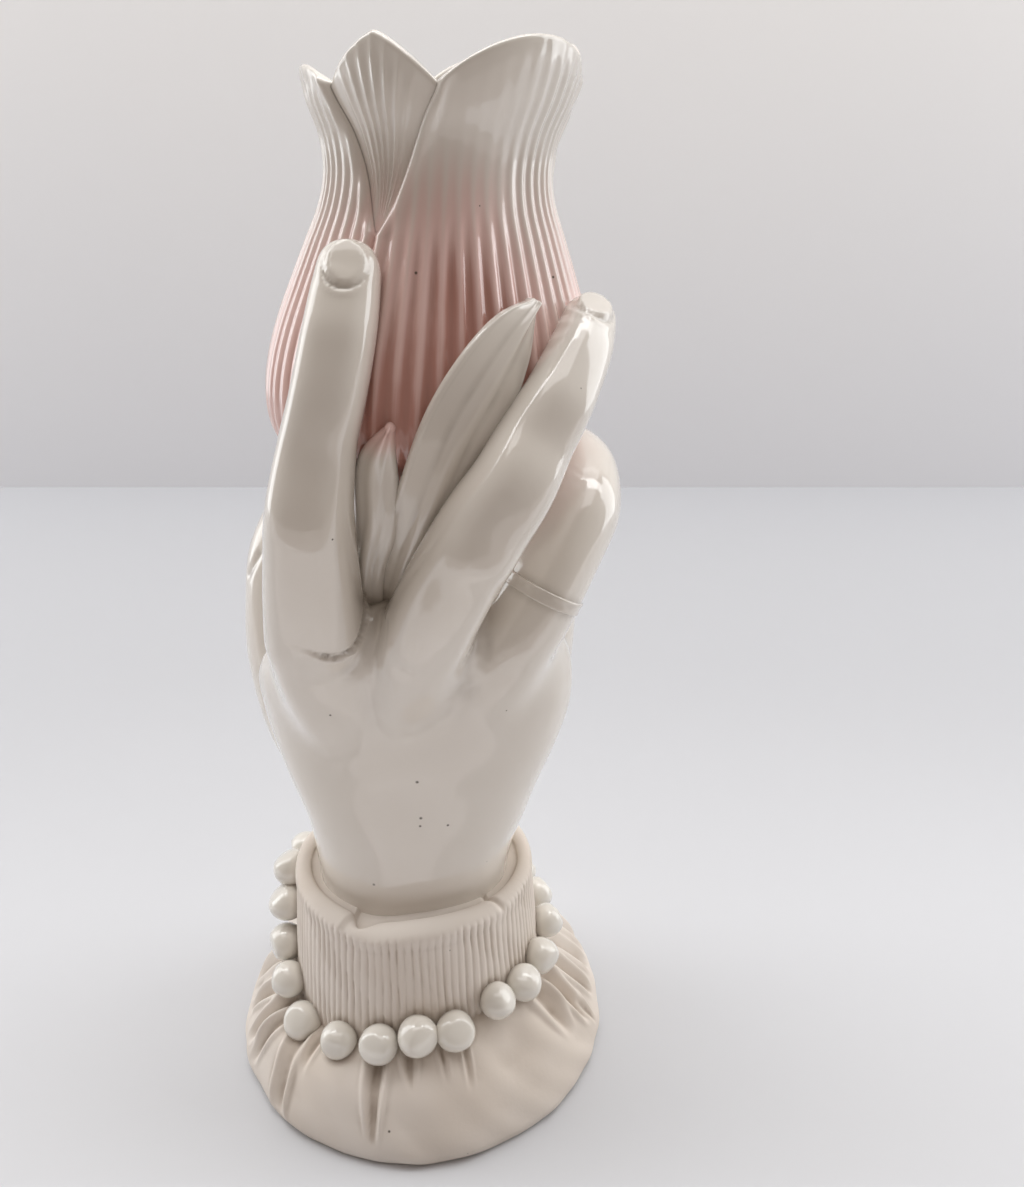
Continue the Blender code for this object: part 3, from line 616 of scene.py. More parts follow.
def new_material(name: str) -> tuple[bpy.types.Material, Graph, bpy.types.Node]:
    """Starts a material.

    Args:
        name: Name of the material.

    Returns:
        The material, its graph and its shader.
    """
    material = bpy.data.materials.new(name)
    material.use_nodes = True
    return material, Graph(material.node_tree), material.node_tree.nodes["Principled BSDF"]


@dataclass
class Effects:
    """The effects that the finishes share."""

    specks: bpy.types.NodeTree = field(default_factory=speck_group)
    # dirt mixed with painted shade, in grooves and where pieces meet
    dirt_and_shade: bpy.types.NodeTree = field(default_factory=dirt_and_shade_group)
    drift: bpy.types.NodeTree = field(default_factory=drift_group)
    skin: bpy.types.NodeTree = field(default_factory=skin_group)


@dataclass(frozen=True)
class Ceramic:
    """A fired surface: its colours, its gloss and how uneven it is."""

    name: str
    pale: Colour
    warm: Colour
    drift_scale: float = 28.0
    # Colour, strength and added roughness of dirt mixed with painted shade in grooves and where pieces meet.
    dirt_and_shade: Colour = (0.23, 0.19, 0.15)
    dirt_and_shade_strength: float = 0.45
    dirt_and_shade_roughness: float = 0.3
    speck: Colour = (0.10, 0.075, 0.055)
    speck_size: float = 0.07
    speck_share: float = 0.07
    roughness: float = 0.12
    coat: float = 1.0
    coat_roughness: float = 0.03
    swell: float = 0.00005
    grain: float = 0.000002
    grain_scale: float = 1500.0
    blush: Colour | None = None
    deep_blush: Colour | None = None
    blush_range: Span = (0.0, 0.6)
    deep_range: Span = (0.55, 1.1)
    streak_scale: Spot = (120.0, 5.0, 1.0)
    streak_strength: float = 0.18
    cloud_scale: float = 70.0
    cloud_strength: float = 0.14

    def body_colour(self, graph: Graph, effects: Effects) -> bpy.types.NodeSocket:
        """Colour of the clean surface.

        Args:
            graph: Graph of the material.
            effects: The shared node groups.

        Returns:
            The colour's output.
        """
        drift = graph.group(effects.drift, Scale=self.drift_scale).outputs[0]
        colour = graph.blend(drift, (*self.pale, 1.0), (*self.warm, 1.0))
        if self.blush is None:
            return colour
        amount = graph.value(BLUSH)
        streaks = graph.node("UVMap").outputs[0]
        streaks = graph.node("Mapping", None, Vector=streaks, Scale=self.streak_scale).outputs[0]
        streaky = graph.window(graph.noise(streaks, 1.0, 3.0), *STREAK_RANGE)
        clouds = graph.window(graph.noise(graph.place(), self.cloud_scale, 3.0), *CLOUD_RANGE)
        streaky = graph.math("MULTIPLY", streaky, self.streak_strength)
        clouds = graph.math("MULTIPLY", clouds, self.cloud_strength)
        plain = 1.0 - 0.5 * (self.streak_strength + self.cloud_strength)
        uneven = graph.math("ADD", graph.math("ADD", streaky, clouds), plain)
        amount = graph.math("MULTIPLY", amount, uneven)
        colour = graph.blend(graph.window(amount, *self.blush_range), colour, (*self.blush, 1.0))
        return graph.blend(graph.window(amount, *self.deep_range), colour, (*self.deep_blush, 1.0))

    def material(self, effects: Effects) -> bpy.types.Material:
        """Builds the material.

        Args:
            effects: The shared node groups.

        Returns:
            The material.
        """
        material, graph, shader = new_material(self.name)
        # Dirt and painted shade: the colour is drawn towards the dark colour in grooves and where other
        # pieces lie close.
        dirt_and_shade = graph.group(effects.dirt_and_shade, Strength=self.dirt_and_shade_strength).outputs[0]
        specks = graph.group(effects.specks, Size=self.speck_size, Share=self.speck_share).outputs[0]
        colour = self.body_colour(graph, effects)
        colour = graph.blend(dirt_and_shade, colour, (*self.dirt_and_shade, 1.0))
        colour = graph.blend(specks, colour, (*self.speck, 1.0))
        rough = graph.math("ADD", graph.math("MULTIPLY", dirt_and_shade, self.dirt_and_shade_roughness), self.roughness)
        uneven = graph.group(effects.skin, Swell=self.swell, Grain=self.grain, Grain_Scale=self.grain_scale)
        bump = graph.node("Bump", None, Strength=1.0, Distance=1.0, Height=uneven.outputs[0])
        graph.feed(shader, Base_Color=colour, Roughness=rough, Normal=bump.outputs[0])
        graph.feed(shader, Coat_Weight=self.coat, Coat_Roughness=self.coat_roughness)
        return material


@dataclass(frozen=True)
class Paper:
    """Pale paper painted from a near tone to a far tone over a reach in metres, along Y where axis is 1 and Z
    where it is 2: painted falloff of the light.
    """

    name: str
    near: Colour
    far: Colour
    axis: int
    reach: Span
    roughness: float = 0.7
    cloud_scale: float = 3.0
    cloud_share: float = 0.25

    def material(self) -> bpy.types.Material:
        """Builds the material.

        Returns:
            The material.
        """
        material, graph, shader = new_material(self.name)
        axes = graph.node("SeparateXYZ", None, Vector=graph.place())
        cloud = self.cloud_share * (self.reach[1] - self.reach[0])
        cloud = graph.math("MULTIPLY", graph.noise(graph.place(), self.cloud_scale), cloud)
        # painted falloff of light: the tone shifts along the axis, with a little cloud
        drift = graph.window(graph.math("ADD", axes.outputs[self.axis], cloud), *self.reach)
        colour = graph.blend(drift, (*self.near, 1.0), (*self.far, 1.0))
        graph.feed(shader, Base_Color=colour, Roughness=self.roughness)
        return material


class Finish(Enum):
    """The finishes on the vase."""

    # The strengths of dirt in each finish also set how much painted shade darkens grooves and places where
    # pieces meet.
    WHITE_GLAZE = Ceramic(
        "white glaze",
        (0.80, 0.755, 0.695),
        (0.77, 0.72, 0.65),
        dirt_and_shade_strength=0.3,
    )
    PINK_GLAZE = Ceramic(
        "pink glaze",
        (0.81, 0.77, 0.715),
        (0.78, 0.735, 0.67),
        dirt_and_shade_strength=0.12,
        blush=(0.82, 0.575, 0.53),
        deep_blush=(0.50, 0.235, 0.19),
        speck_share=0.05,
    )
    PEARL_GLAZE = Ceramic(
        "pearl glaze",
        (0.80, 0.77, 0.71),
        (0.78, 0.74, 0.67),
        dirt_and_shade_strength=0.5,
    )
    BISQUE = Ceramic(
        "bisque",
        (0.785, 0.722, 0.66),
        (0.705, 0.625, 0.545),
        # heavy dirt mixed with painted shade in the folds of the bisque
        dirt_and_shade_strength=0.75,
        dirt_and_shade=(0.33, 0.26, 0.20),
        roughness=0.75,
        coat=0.0,
        swell=0.00012,
        grain=0.00003,
        grain_scale=900.0,
        speck_share=0.09,
    )


# Forms of the vase


@dataclass(frozen=True)
class Stack:
    """Heights of the vase's parts from the table up, and its leading widths."""

    seam: float = 20.0
    cuff_top: float = 45.0
    knuckles: float = 103.0
    flower_bottom: float = 127.5
    flower_height: float = 72.5
    foot_radius: float = 40.0
    palm_half_width: float = 30.2
    palm_half_depth: float = 15.6
    wrist_half_width: float = 20.2
    wrist_half_depth: float = 16.6
    hollow_wall: float = 5.0
    hollow_top: float = 62.0


@dataclass
class Piece:
    """A form of the vase that gets its own mesh and finish."""

    name: str
    finish: Finish
    # A piece named here doesn't darken this one where they meet; full_depth is the groove depth that dirt and
    # painted shade darken fully.
    undarkened_beside: str = field(default="", kw_only=True)
    full_depth: float = field(default=0.12, kw_only=True)

    def install(self, mesh: bpy.types.Mesh, materials: dict[Finish, bpy.types.Material]) -> None:
        """Puts a mesh into the scene as this piece of the vase.

        Args:
            mesh: The finished mesh, in millimetres.
            materials: Material of each finish.
        """
        mesh.name = self.name
        mesh.transform(Matrix.Scale(MM, 4))
        mesh.materials.clear()
        mesh.materials.append(materials[self.finish])
        mesh.shade_smooth()
        piece = in_scene(self.name, mesh)
        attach(piece, BODY)
        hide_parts(NODE)
        log.info("%s: %d faces", self.name, len(mesh.polygons))


@dataclass
class Tulip(Piece):
    """The tulip cup: three outer petals over three inner ones, ribbed, with a thin lip."""

    stack: Stack = field(default_factory=Stack)
    axis_x: float = 4.1
    axis_y: float = 7.0
    lean: float = 0.075
    belly: float = 28.8
    waist: float = 18.8
    mouth: float = 23.4
    wall: float = 2.8
    lip_wall: float = 1.5
    cup_floor: float = 4.0
    ribs: int = 54
    rib_depth: float = 0.32
    inner_ribs: int = 9
    seams: tuple[Span, ...] = ((-23.5, 0.3), (109.0, 1.5), (219.0, 4.5))
    seam_foot: float = 0.62
    seam_opening: float = 25.0
    seam_groove: float = 0.9
    overlap: float = 1.1
    edge_turn: float = 2.6
    edge_roll: float = 0.35
    valley: float = 6.5
    edge_steps: tuple[float, ...] = (0.0, 0.1, 0.3, 0.6, 1.0)
    columns: int = 150
    inner_columns: int = 62
    bare_azimuth: float = 12.0
    bare_width: float = 26.0
    inner_swell: float = 0.5
    blush_fade: Table = (
        (0.0, 1.05),
        (0.14, 1.0),
        (0.30, 0.92),
        (0.45, 0.76),
        (0.58, 0.54),
        (0.70, 0.28),
        (0.84, 0.0),
    )
    blush_most: float = 1.25
    ridge_fade: float = 0.38
    front_azimuth: float = 2.0
    front_width: float = 48.0
    front_gain: float = 0.66
    side_share: float = 0.68
    pool_azimuth: float = -8.0
    pool_height: float = 12.0
    pool_width: float = 26.0
    pool_reach: float = 16.0
    pool_strength: float = 0.22
    cloud_strength: float = 0.12
    cloud_twist: float = 40.0
    cloud_seed: int = 21

    def centre(self, height: Array) -> Array:
        """Middle of the flower at heights above its bottom."""
        x = self.axis_x + self.lean * height
        return np.stack([x, np.full_like(height, self.axis_y), self.stack.flower_bottom + height], axis=-1)

    def radius(self, height: Array) -> Array:
        """Radius of the plain turned form at heights above its bottom.

        Args:
            height: Heights in millimetres.

        Returns:
            One radius for each height.
        """
        belly, waist, mouth = self.belly, self.waist, self.mouth
        profile = Profile(
            (0.0, 0.26 * belly),
            (0.022, 0.50 * belly),
            (0.07, 0.76 * belly),
            (0.13, 0.92 * belly),
            (0.19, 0.985 * belly),
            (0.26, belly),
            (0.34, 0.975 * belly),
            (0.42, 0.92 * belly),
            (0.50, 0.845 * belly),
            (0.59, 0.756 * belly),
            (0.67, 1.04 * waist),
            (0.74, waist),
            (0.81, 0.4 * waist + 0.6 * 0.86 * mouth),
            (0.88, 0.925 * mouth),
            (0.95, 0.985 * mouth),
            (1.0, mouth),
        )
        return profile.at(height / self.stack.flower_height)

    def past_foot(self, share: Array) -> Array:
        """How far up a share lies between the foot of the inner petals and the mouth."""
        return np.clip((share - self.seam_foot) / (1.0 - self.seam_foot), 0.0, 1.0)

    def opening(self, share: Array) -> Array:
        """Half the angle between two outer petals at a share of the height."""
        return self.seam_opening * self.past_foot(share) ** 0.8

    def rim(self, azimuth: Array) -> Array:
        """Height of the mouth's edge, which follows the petals' points.

        Args:
            azimuth: Azimuths in degrees.

        Returns:
            One height for each azimuth.
        """
        height = np.full_like(azimuth, self.stack.flower_height)
        for index, (seam, tip_drop) in enumerate(self.seams):
            after = self.seams[(index + 1) % len(self.seams)][0]
            span = (after - seam) % 360.0 - 2.0 * self.seam_opening
            past = (azimuth - seam - self.seam_opening) % 360.0
            across = np.abs(2.0 * past / span - 1.0)
            outer = self.stack.flower_height - self.valley * across**2 - tip_drop * (1.0 - across)
            height = np.where(past <= span, outer, height)
            across = np.abs(apart(azimuth, seam)) / self.seam_opening
            inner = self.stack.flower_height - self.valley * across**1.3
            height = np.where(across <= 1.0, inner, height)
        return height

    def row_height(self, azimuth: Array, share: Array) -> Array:
        """Height of a row. Rows above the middle rise and fall with the mouth's edge.

        Args:
            azimuth: Azimuths in degrees.
            share: Shares of the flower's height.

        Returns:
            One height for each azimuth.
        """
        middle = 0.5 * self.stack.flower_height
        above = middle + (2.0 * share - 1.0) * (self.rim(azimuth) - middle)
        return np.where(share <= 0.5, share * self.stack.flower_height, above)

    def rows(self) -> Array:
        """Rows of a petal: share of the height, share of the wall passed, rise over the lip.

        Returns:
            The rows, from the bottom up the outside, over the lip and down to the floor of the cup.
        """
        foot = self.seam_foot
        lower = np.linspace(0.0, foot, 76)[:-1]
        upper = np.linspace(foot, 1.0, 50)
        table = [(share, 0.0, 0.0) for share in np.concatenate([lower, upper])]
        for step in range(1, 6):
            angle = math.pi * step / 6.0
            table.append((1.0, 0.5 - 0.5 * math.cos(angle), math.sin(angle)))
        down = 1.0 - (1.0 - foot) * np.linspace(0.0, 1.0, 14) ** 1.3
        table += [(share, 1.0, 0.0) for share in down]
        floor = self.cup_floor / self.stack.flower_height
        table += [(share, 1.0, 0.0) for share in np.linspace(foot, floor, 20)[1:]]
        return np.array(table)

    def ribbing(self, azimuth: Array, share: Array) -> Array:
        """Ribs of the outer petals: 1 on a ridge, -1 in a groove, faded where they run out.

        Args:
            azimuth: Azimuths in degrees.
            share: Shares of the flower's height.

        Returns:
            One value for each azimuth.
        """
        ridge = np.cos(np.radians(azimuth) * self.ribs)
        bare = hump(apart(azimuth, self.bare_azimuth) / self.bare_width) ** 0.5
        bare = ease(1.25 * bare - 0.1) * ease((share - 0.56) / 0.14)
        worn = 1.0 - 0.45 * ease(2.0 * share - 1.0)
        return ridge * np.minimum(1.0, 8.0 * share) * (1.0 - 0.93 * bare) * worn

    def depth_at_edge(self, share: Array) -> Array:
        """Step from an outer petal down to the inner one, or to the bottom of the seam."""
        return self.seam_groove + (self.overlap - self.seam_groove) * ease(3.0 * self.past_foot(share))

    def surface(self, azimuth: Array, row: Array, raised: Array, sunk_out: Array, sunk_in: Array) -> Array:
        """Places on the flower.

        Args:
            azimuth: Azimuth of each place.
            row: Share of height, share of the wall and rise, from the table of rows.
            raised: How far the ribs stand out.
            sunk_out: How far the outside lies under the plain form.
            sunk_in: The same for the inside.

        Returns:
            One place for each azimuth.
        """
        share, passed, rise = row.T
        near_lip = ease((share - 0.86) / 0.14)
        height = self.row_height(azimuth, share) - 0.5 * self.lip_wall * near_lip + 0.5 * self.lip_wall * rise
        wall = self.wall + (self.lip_wall - self.wall) * ease((share - 0.7) / 0.3)
        outside = self.radius(height) + raised - sunk_out
        inside = self.radius(height) - sunk_in - wall
        reach = outside + (inside - outside) * passed
        bottom = (passed == 1.0) & (share <= self.cup_floor / self.stack.flower_height + 1e-6)
        reach = np.where(bottom | ((share == 0.0) & (passed == 0.0)), 0.0, reach)
        return self.centre(height) + turned(azimuth) * reach[:, None]

    def table_rows(self, along: Array, table: Array) -> Array:
        """Rows of the table at shares of the way along it.

        Args:
            along: Share of the way along.
            table: The rows.

        Returns:
            One row for each share.
        """
        place = along * (len(table) - 1)
        steps = np.arange(len(table))
        return np.stack([np.interp(place, steps, table[:, k]) for k in range(3)], axis=-1)

    def outer_petal(self, index: int) -> bmesh.types.BMesh:
        """One outer petal, outside and inside, from the bottom to the floor of the cup.

        Args:
            index: Number of the seam that it starts at.

        Returns:
            The petal.
        """
        seam = self.seams[index][0]
        after = seam + (self.seams[(index + 1) % len(self.seams)][0] - seam) % 360.0
        table = self.rows()

        def rule(across: Array, along: Array) -> Array:
            """Places on the petal.

            Args:
                across: Share of the way across.
                along: Share of the way along the rows.

            Returns:
                One place for each corner.
            """
            row = self.table_rows(along, table)
            share, passed, _ = row.T
            half = self.opening(share)
            start, width = seam + half, after - seam - 2.0 * half
            place = across * self.columns
            fine = np.array(self.edge_steps) * self.edge_turn
            count = len(fine) - 1
            inner = fine[-1] + (place - count) * (width - 2.0 * fine[-1]) / (self.columns - 2.0 * count)
            turn = np.where(place < count, np.interp(place, range(len(fine)), fine), inner)
            mirrored = width - np.interp(self.columns - place, range(len(fine)), fine)
            turn = np.where(place > self.columns - count, mirrored, turn)
            azimuth = start + turn
            edge = np.minimum(turn, width - turn)
            drop = self.depth_at_edge(share)
            rounded = np.sqrt(np.clip(1.0 - (1.0 - np.clip(edge / self.edge_turn, 0, 1)) ** 2, 0.0, 1.0))
            rolled = self.edge_roll * hump((edge - 1.2 * self.edge_turn) / self.edge_turn)
            sunk_out = drop * (1.0 - rounded) - rolled * ease(share / 0.2) * (1 - passed)
            lip = ease((share - 0.85) / 0.15)
            sunk_in = drop * (1.0 - lip * ease(edge / 9.0))
            raised = self.rib_depth * self.ribbing(azimuth, share) * ease(edge / self.edge_turn)
            raised = raised * (1.0 - 0.8 * ease((share - 0.93) / 0.07))
            return self.surface(azimuth, row, raised, sunk_out, sunk_in)

        return pressed(self.columns, len(table) - 1, rule)

    def inner_petal(self, index: int) -> bmesh.types.BMesh:
        """One inner petal, which shows between two outer ones above the foot of their seam.

        Args:
            index: Number of the seam that it fills.

        Returns:
            The petal.
        """
        seam = self.seams[index][0]
        table = self.rows()
        past = np.flatnonzero(table[:, 0] >= self.seam_foot - 1e-6)
        table = table[past[0] : past[-1] + 1]

        def rule(across: Array, along: Array) -> Array:
            """Places on the petal.

            Args:
                across: Share of the way across.
                along: Share of the way along the rows.

            Returns:
                One place for each corner.
            """
            row = self.table_rows(along, table)
            share, passed, _ = row.T
            half = self.opening(share)
            azimuth = seam + (2.0 * across - 1.0) * half
            drop = self.depth_at_edge(share)
            phase = across * self.inner_ribs * math.pi
            ridge = 1.0 - 2.0 * np.abs(np.cos(phase)) ** 0.8
            fade = ease(4.0 * across) * ease(4.0 * (1.0 - across))
            up = self.past_foot(share)
            near_lip = 1.0 - 0.7 * ease((up - 0.85) / 0.15)
            raised = 0.55 * self.rib_depth * ridge * fade * ease(2.5 * up) * near_lip
            raised = raised + self.inner_swell * fade * ease(2.0 * up)
            return self.surface(azimuth, row, raised * (1.0 - passed), drop, drop)

        return pressed(self.inner_columns, len(table) - 1, rule)

    def shaped(self) -> bpy.types.Mesh:
        """The whole cup, with its blush and its wrapped coordinates.

        Returns:
            The mesh, in millimetres.
        """
        forms = [self.outer_petal(index) for index in range(len(self.seams))]
        forms += [self.inner_petal(index) for index in range(len(self.seams))]
        mesh = merged(self.name, forms)
        spots = read_spots(mesh)
        height = spots[:, 2] - self.stack.flower_bottom
        offset = spots[:, :2] - self.centre(height)[:, :2]
        azimuth = np.degrees(np.arctan2(offset[:, 0], -offset[:, 1]))
        outside = np.linalg.norm(offset, axis=1) > self.radius(height) - 0.6 * self.wall
        amount = self.blush(azimuth, height) * outside
        put_values(mesh, BLUSH, amount)
        self.wrap(mesh, azimuth, height)
        return mesh

    def blush(self, azimuth: Array, height: Array) -> Array:
        """How pink the outside is: dense below, in the grooves and towards the front.

        Args:
            azimuth: Azimuths in degrees.
            height: Heights above the flower's bottom.

        Returns:
            One value for each azimuth.
        """
        share = height / self.stack.flower_height
        ridge = 0.5 + 0.5 * np.cos(np.radians(azimuth) * self.ribs)
        amount = Profile(*self.blush_fade).at(share) * (1.0 - self.ridge_fade * ridge**2)
        pool = hump(apart(azimuth, self.pool_azimuth) / self.pool_width)
        pool = pool * hump((height - self.pool_height) / self.pool_reach)
        drifted = azimuth + self.cloud_twist * height / self.stack.flower_height
        cloud = self.cloud_strength * wander(drifted, 4, self.cloud_seed)
        front = hump(apart(azimuth, self.front_azimuth) / self.front_width)
        front = self.side_share + self.front_gain * front
        amount = amount * front * (1.0 + cloud) + self.pool_strength * pool
        return np.clip(amount, 0.0, self.blush_most)

    def wrap(self, mesh: bpy.types.Mesh, azimuth: Array, height: Array) -> None:
        """Gives the cup a UV map: once round is 1 across, and the height is 1 up.

        Args:
            mesh: The cup.
            azimuth: Azimuth of each corner.
            height: Height of each corner.
        """
        layer = mesh.uv_layers.new(name="around")
        loops = np.empty(len(mesh.loops), dtype=np.int64)
        mesh.loops.foreach_get("vertex_index", loops)
        across = azimuth[loops] / 360.0 + 0.5
        up = height[loops] / self.stack.flower_height
        layer.data.foreach_set("uv", np.stack([across, up], axis=-1).ravel())


@dataclass
class Limb:
    """A rounded limb through its stations, with a round cap at each end."""

    path: Path
    facing: float | None = None
    squareness: float = 2.3
    humps: tuple[Spot, ...] = ()
    ridge: float = 0.0
    ridges: int = 3
    cap: float = 0.12
    axis: tuple[float, float] = (4.1, 7.0)

    def outward(self, centre: Array, direction: Array) -> Array:
        """Directions of the limb's back.

        Args:
            centre: Centres of sections.
            direction: Ways along the limb there.

        Returns:
            One unit vector for each.
        """
        if self.facing is None:
            away = centre - np.array([self.axis[0], self.axis[1], 0.0])
            away[:, 2] = 0.0
        else:
            away = turned(np.full(len(centre), self.facing))
        away = away - direction * np.sum(away * direction, axis=1, keepdims=True)
        return unit(away)

    def section(self, t: Array) -> tuple[Array, ...]:
        """Sections of the limb.

        Args:
            t: Places along the limb, counted in stations.

        Returns:
            Centres, half widths, half depths, and the ways along, outwards and sideways.
        """
        station = self.path.at(t)
        centre = station[:, :3]
        direction = self.path.heading(t)
        outward = self.outward(centre, direction)
        return centre, station[:, 3], station[:, 4], direction, outward, np.cross(direction, outward)

    def rule(self, around: Array, along: Array) -> Array:
        """Places on the limb.

        Args:
            around: Share of the way round.
            along: Share of the way along.

        Returns:
            One place for each corner.
        """
        cap, last = self.cap, self.path.last
        t = np.clip((along - cap) / (1.0 - 2.0 * cap), 0.0, 1.0) * last
        start = np.clip(along / cap - 1.0, -1.0, 0.0)
        end = np.clip((along - 1.0 + cap) / cap, 0.0, 1.0)
        turn = 0.5 * math.pi * (start + end)
        centre, wide, deep, direction, outward, side = self.section(t)
        girth = np.cos(turn)
        centre = centre + direction * (np.sin(turn) * np.minimum(wide, deep))[:, None]
        angle = 2.0 * math.pi * around
        power = 2.0 / self.squareness
        across = np.sign(np.cos(angle)) * np.abs(np.cos(angle)) ** power
        up = np.sign(np.sin(angle)) * np.abs(np.sin(angle)) ** power
        back = np.clip(np.sin(angle), 0.0, 1.0)
        raised = np.zeros_like(t)
        for place, height, length in self.humps:
            raised += height * hump((t - place) / length) * back**1.5
        ribs = np.clip(np.cos((0.5 - around * 2.0) * math.pi * self.ridges), 0.0, 1.0) ** 2
        raised += self.ridge * ribs * back * girth
        reach = side * (wide * girth * across)[:, None] + outward * ((deep * up + raised) * girth)[:, None]
        return centre + reach

    def form(self, around: int = 48, along: int = 90) -> bmesh.types.BMesh:
        """The limb as a closed form."""
        return pressed(around, along, self.rule)


@dataclass(frozen=True)
class Nail:
    """A nail: its digit, its size, how it is turned and tilted in degrees, and its relief.

    The number of stations from its middle to the tip is back. It is turned about the finger, to
    the left as seen from the front, and tilted towards the tip. Its places and widths from
    plate_end on are shares of the nail's own size, and its heights are in millimetres.
    """

    digit: str
    back: float
    half_length: float
    turn: float
    tilt: float
    half_width: float = 3.0
    sunk: float = 0.15
    arch: float = 0.22
    root_lift: float = 0.25
    plate_end: float = 1.06
    rim: float = 0.24
    rim_place: float = 1.16
    rim_width: float = 0.08
    cuticle: float = 0.16
    cuticle_place: float = 1.36
    cuticle_width: float = 0.13


NAILS = (
    Nail("index", 0.22, 3.7, turn=-5.0, tilt=8.0),
    Nail("middle", 0.25, 3.4, turn=26.0, tilt=10.0),
)


@dataclass
class Hand(Piece):
    """Wrist, palm, digits and stem in one skin, with nails and creases worked in."""

    stack: Stack = field(default_factory=Stack)
    tulip: Tulip | None = None
    voxel: float = 0.63
    smoothing: int = 20
    finger_sink: float = 1.5
    stem_radius: float = 6.5
    wrist_end: float = 31.0
    index_facing: float = -6.0
    middle_facing: float = 16.0
    index_reach: Table = (
        (-0.265, -0.232, -0.861, 0.265, 0.232),
        (-0.397, -0.397, -0.397, 0.291, 0.265),
        (-0.47, -0.497, -0.017, 0.291, 0.272),
        (-0.454, -0.609, 0.331, 0.275, 0.258),
        (-0.427, -0.702, 0.646, 0.252, 0.238),
        (-0.397, -0.762, 0.96, 0.228, 0.225),
    )
    middle_reach: Table = (
        (0.033, -0.232, -0.927, 0.248, 0.232),
        (0.04, -0.397, -0.397, 0.265, 0.258),
        (0.106, -0.53, -0.066, 0.265, 0.272),
        (0.225, -0.649, 0.265, 0.248, 0.265),
        (0.368, -0.735, 0.579, 0.238, 0.255),
        (0.523, -0.795, 0.868, 0.232, 0.245),
        (0.669, -0.795, 1.093, 0.219, 0.228),
    )
    ring_reach: Table = (
        (0.43, -0.166, -0.993, 0.232, 0.232),
        (0.517, -0.331, -0.43, 0.245, 0.252),
        (0.616, -0.411, -0.149, 0.245, 0.258),
        (0.762, -0.444, 0.166, 0.232, 0.245),
        (0.917, -0.371, 0.464, 0.225, 0.238),
        (1.056, -0.166, 0.722, 0.225, 0.238),
        (1.093, 0.132, 0.861, 0.212, 0.225),
        (0.98, 0.447, 0.911, 0.199, 0.205),
        (0.745, 0.712, 0.944, 0.175, 0.175),
    )
    little_reach: Table = (
        (0.596, -0.033, -1.093, 0.248, 0.232),
        (0.762, -0.033, -0.596, 0.258, 0.245),
        (0.838, 0.083, -0.199, 0.242, 0.238),
        (0.858, 0.232, 0.132, 0.232, 0.232),
        (0.811, 0.43, 0.397, 0.222, 0.222),
        (0.639, 0.613, 0.613, 0.199, 0.199),
        (0.424, 0.679, 0.728, 0.172, 0.172),
    )
    thumb_reach: Table = (
        (-0.43, 0.099, -1.391, 0.265, 0.265),
        (-0.679, 0.182, -0.96, 0.315, 0.298),
        (-0.805, 0.285, -0.497, 0.298, 0.298),
        (-0.834, 0.364, -0.132, 0.275, 0.275),
        (-0.788, 0.457, 0.232, 0.262, 0.258),
        (-0.649, 0.606, 0.563, 0.245, 0.225),
        (-0.464, 0.755, 0.828, 0.209, 0.185),
    )
    index_grip: Table = (
        (-27.6, 0.196, 0.202),
        (-24.5, 0.305, 0.192),
        (-23.8, 0.425, 0.185),
        (-24.6, 0.497, 0.175),
        (-25.7, 0.552, 0.162),
    )
    middle_grip: Table = (
        (33.5, 0.197, 0.205),
        (42.0, 0.287, 0.185),
        (54.0, 0.375, 0.166),
        (64.5, 0.426, 0.146),
    )
    index_base: tuple[Spot, ...] = (
        (-4.6, -15.6, 112.0),
        (-5.2, -17.5, 109.8),
        (-6.1, -19.9, 107.4),
        (-7.6, -21.7, 106.3),
        (-9.7, -23.3, 105.9),
        (-11.6, -24.2, 106.3),
    )
    thumb_crease: tuple[Spot, ...] = ((-31.0, 8.6, 106.5), (-30.0, 8.0, 109.0), (-29.0, 7.5, 111.5))
    dimples: Table = (
        (-8.4, -21.3, 102.1, 3.6),
        (1.4, -24.6, 103.9, 3.8),
        (12.3, -18.5, 96.7, 4.2),
    )
    dimple_depth: float = 0.5
    knuckle_zone: Span = (76.0, 106.0)
    knuckle_fade: float = 8.0
    knuckle_front: float = 5.0
    knuckle_rounds: int = 90

    def free_stations(self, reach: Table) -> list[tuple[float, ...]]:
        """Stations off the flower.

        Args:
            reach: Place above the knuckles, half width and half depth, in half widths of the palm.

        Returns:
            The stations in millimetres.
        """
        size = self.stack.palm_half_width
        return [
            (x * size, y * size, self.stack.knuckles + up * size, wide * size, deep * size)
            for x, y, up, wide, deep in reach
        ]

    def on_flower(self, azimuth: float, share: float, lift: float) -> Array:
        """A place over the flower's surface.

        Args:
            azimuth: Its azimuth on the flower.
            share: Its share of the flower's height.
            lift: How far it lies over the surface.

        Returns:
            The place.
        """
        height = np.array([share * self.stack.flower_height])
        reach = self.tulip.radius(height) + lift
        return (self.tulip.centre(height) + turned(np.array([azimuth])) * reach[:, None])[0]

    def digit_path(self, reach: Table, grip: Table = ()) -> Path:
        """Stations of a digit: free ones over the knuckles, then ones that lie on the flower.

        Args:
            reach: Free stations, in half widths of the palm.
            grip: Azimuth and share of height on the flower, and girth in half widths of the palm.

        Returns:
            The digit's path.
        """
        stations = self.free_stations(reach)
        for azimuth, share, girth in grip:
            radius = girth * self.stack.palm_half_width
            centre = self.on_flower(azimuth, share, radius - self.finger_sink)
            stations.append((*centre, radius, radius))
        return Path(stations)

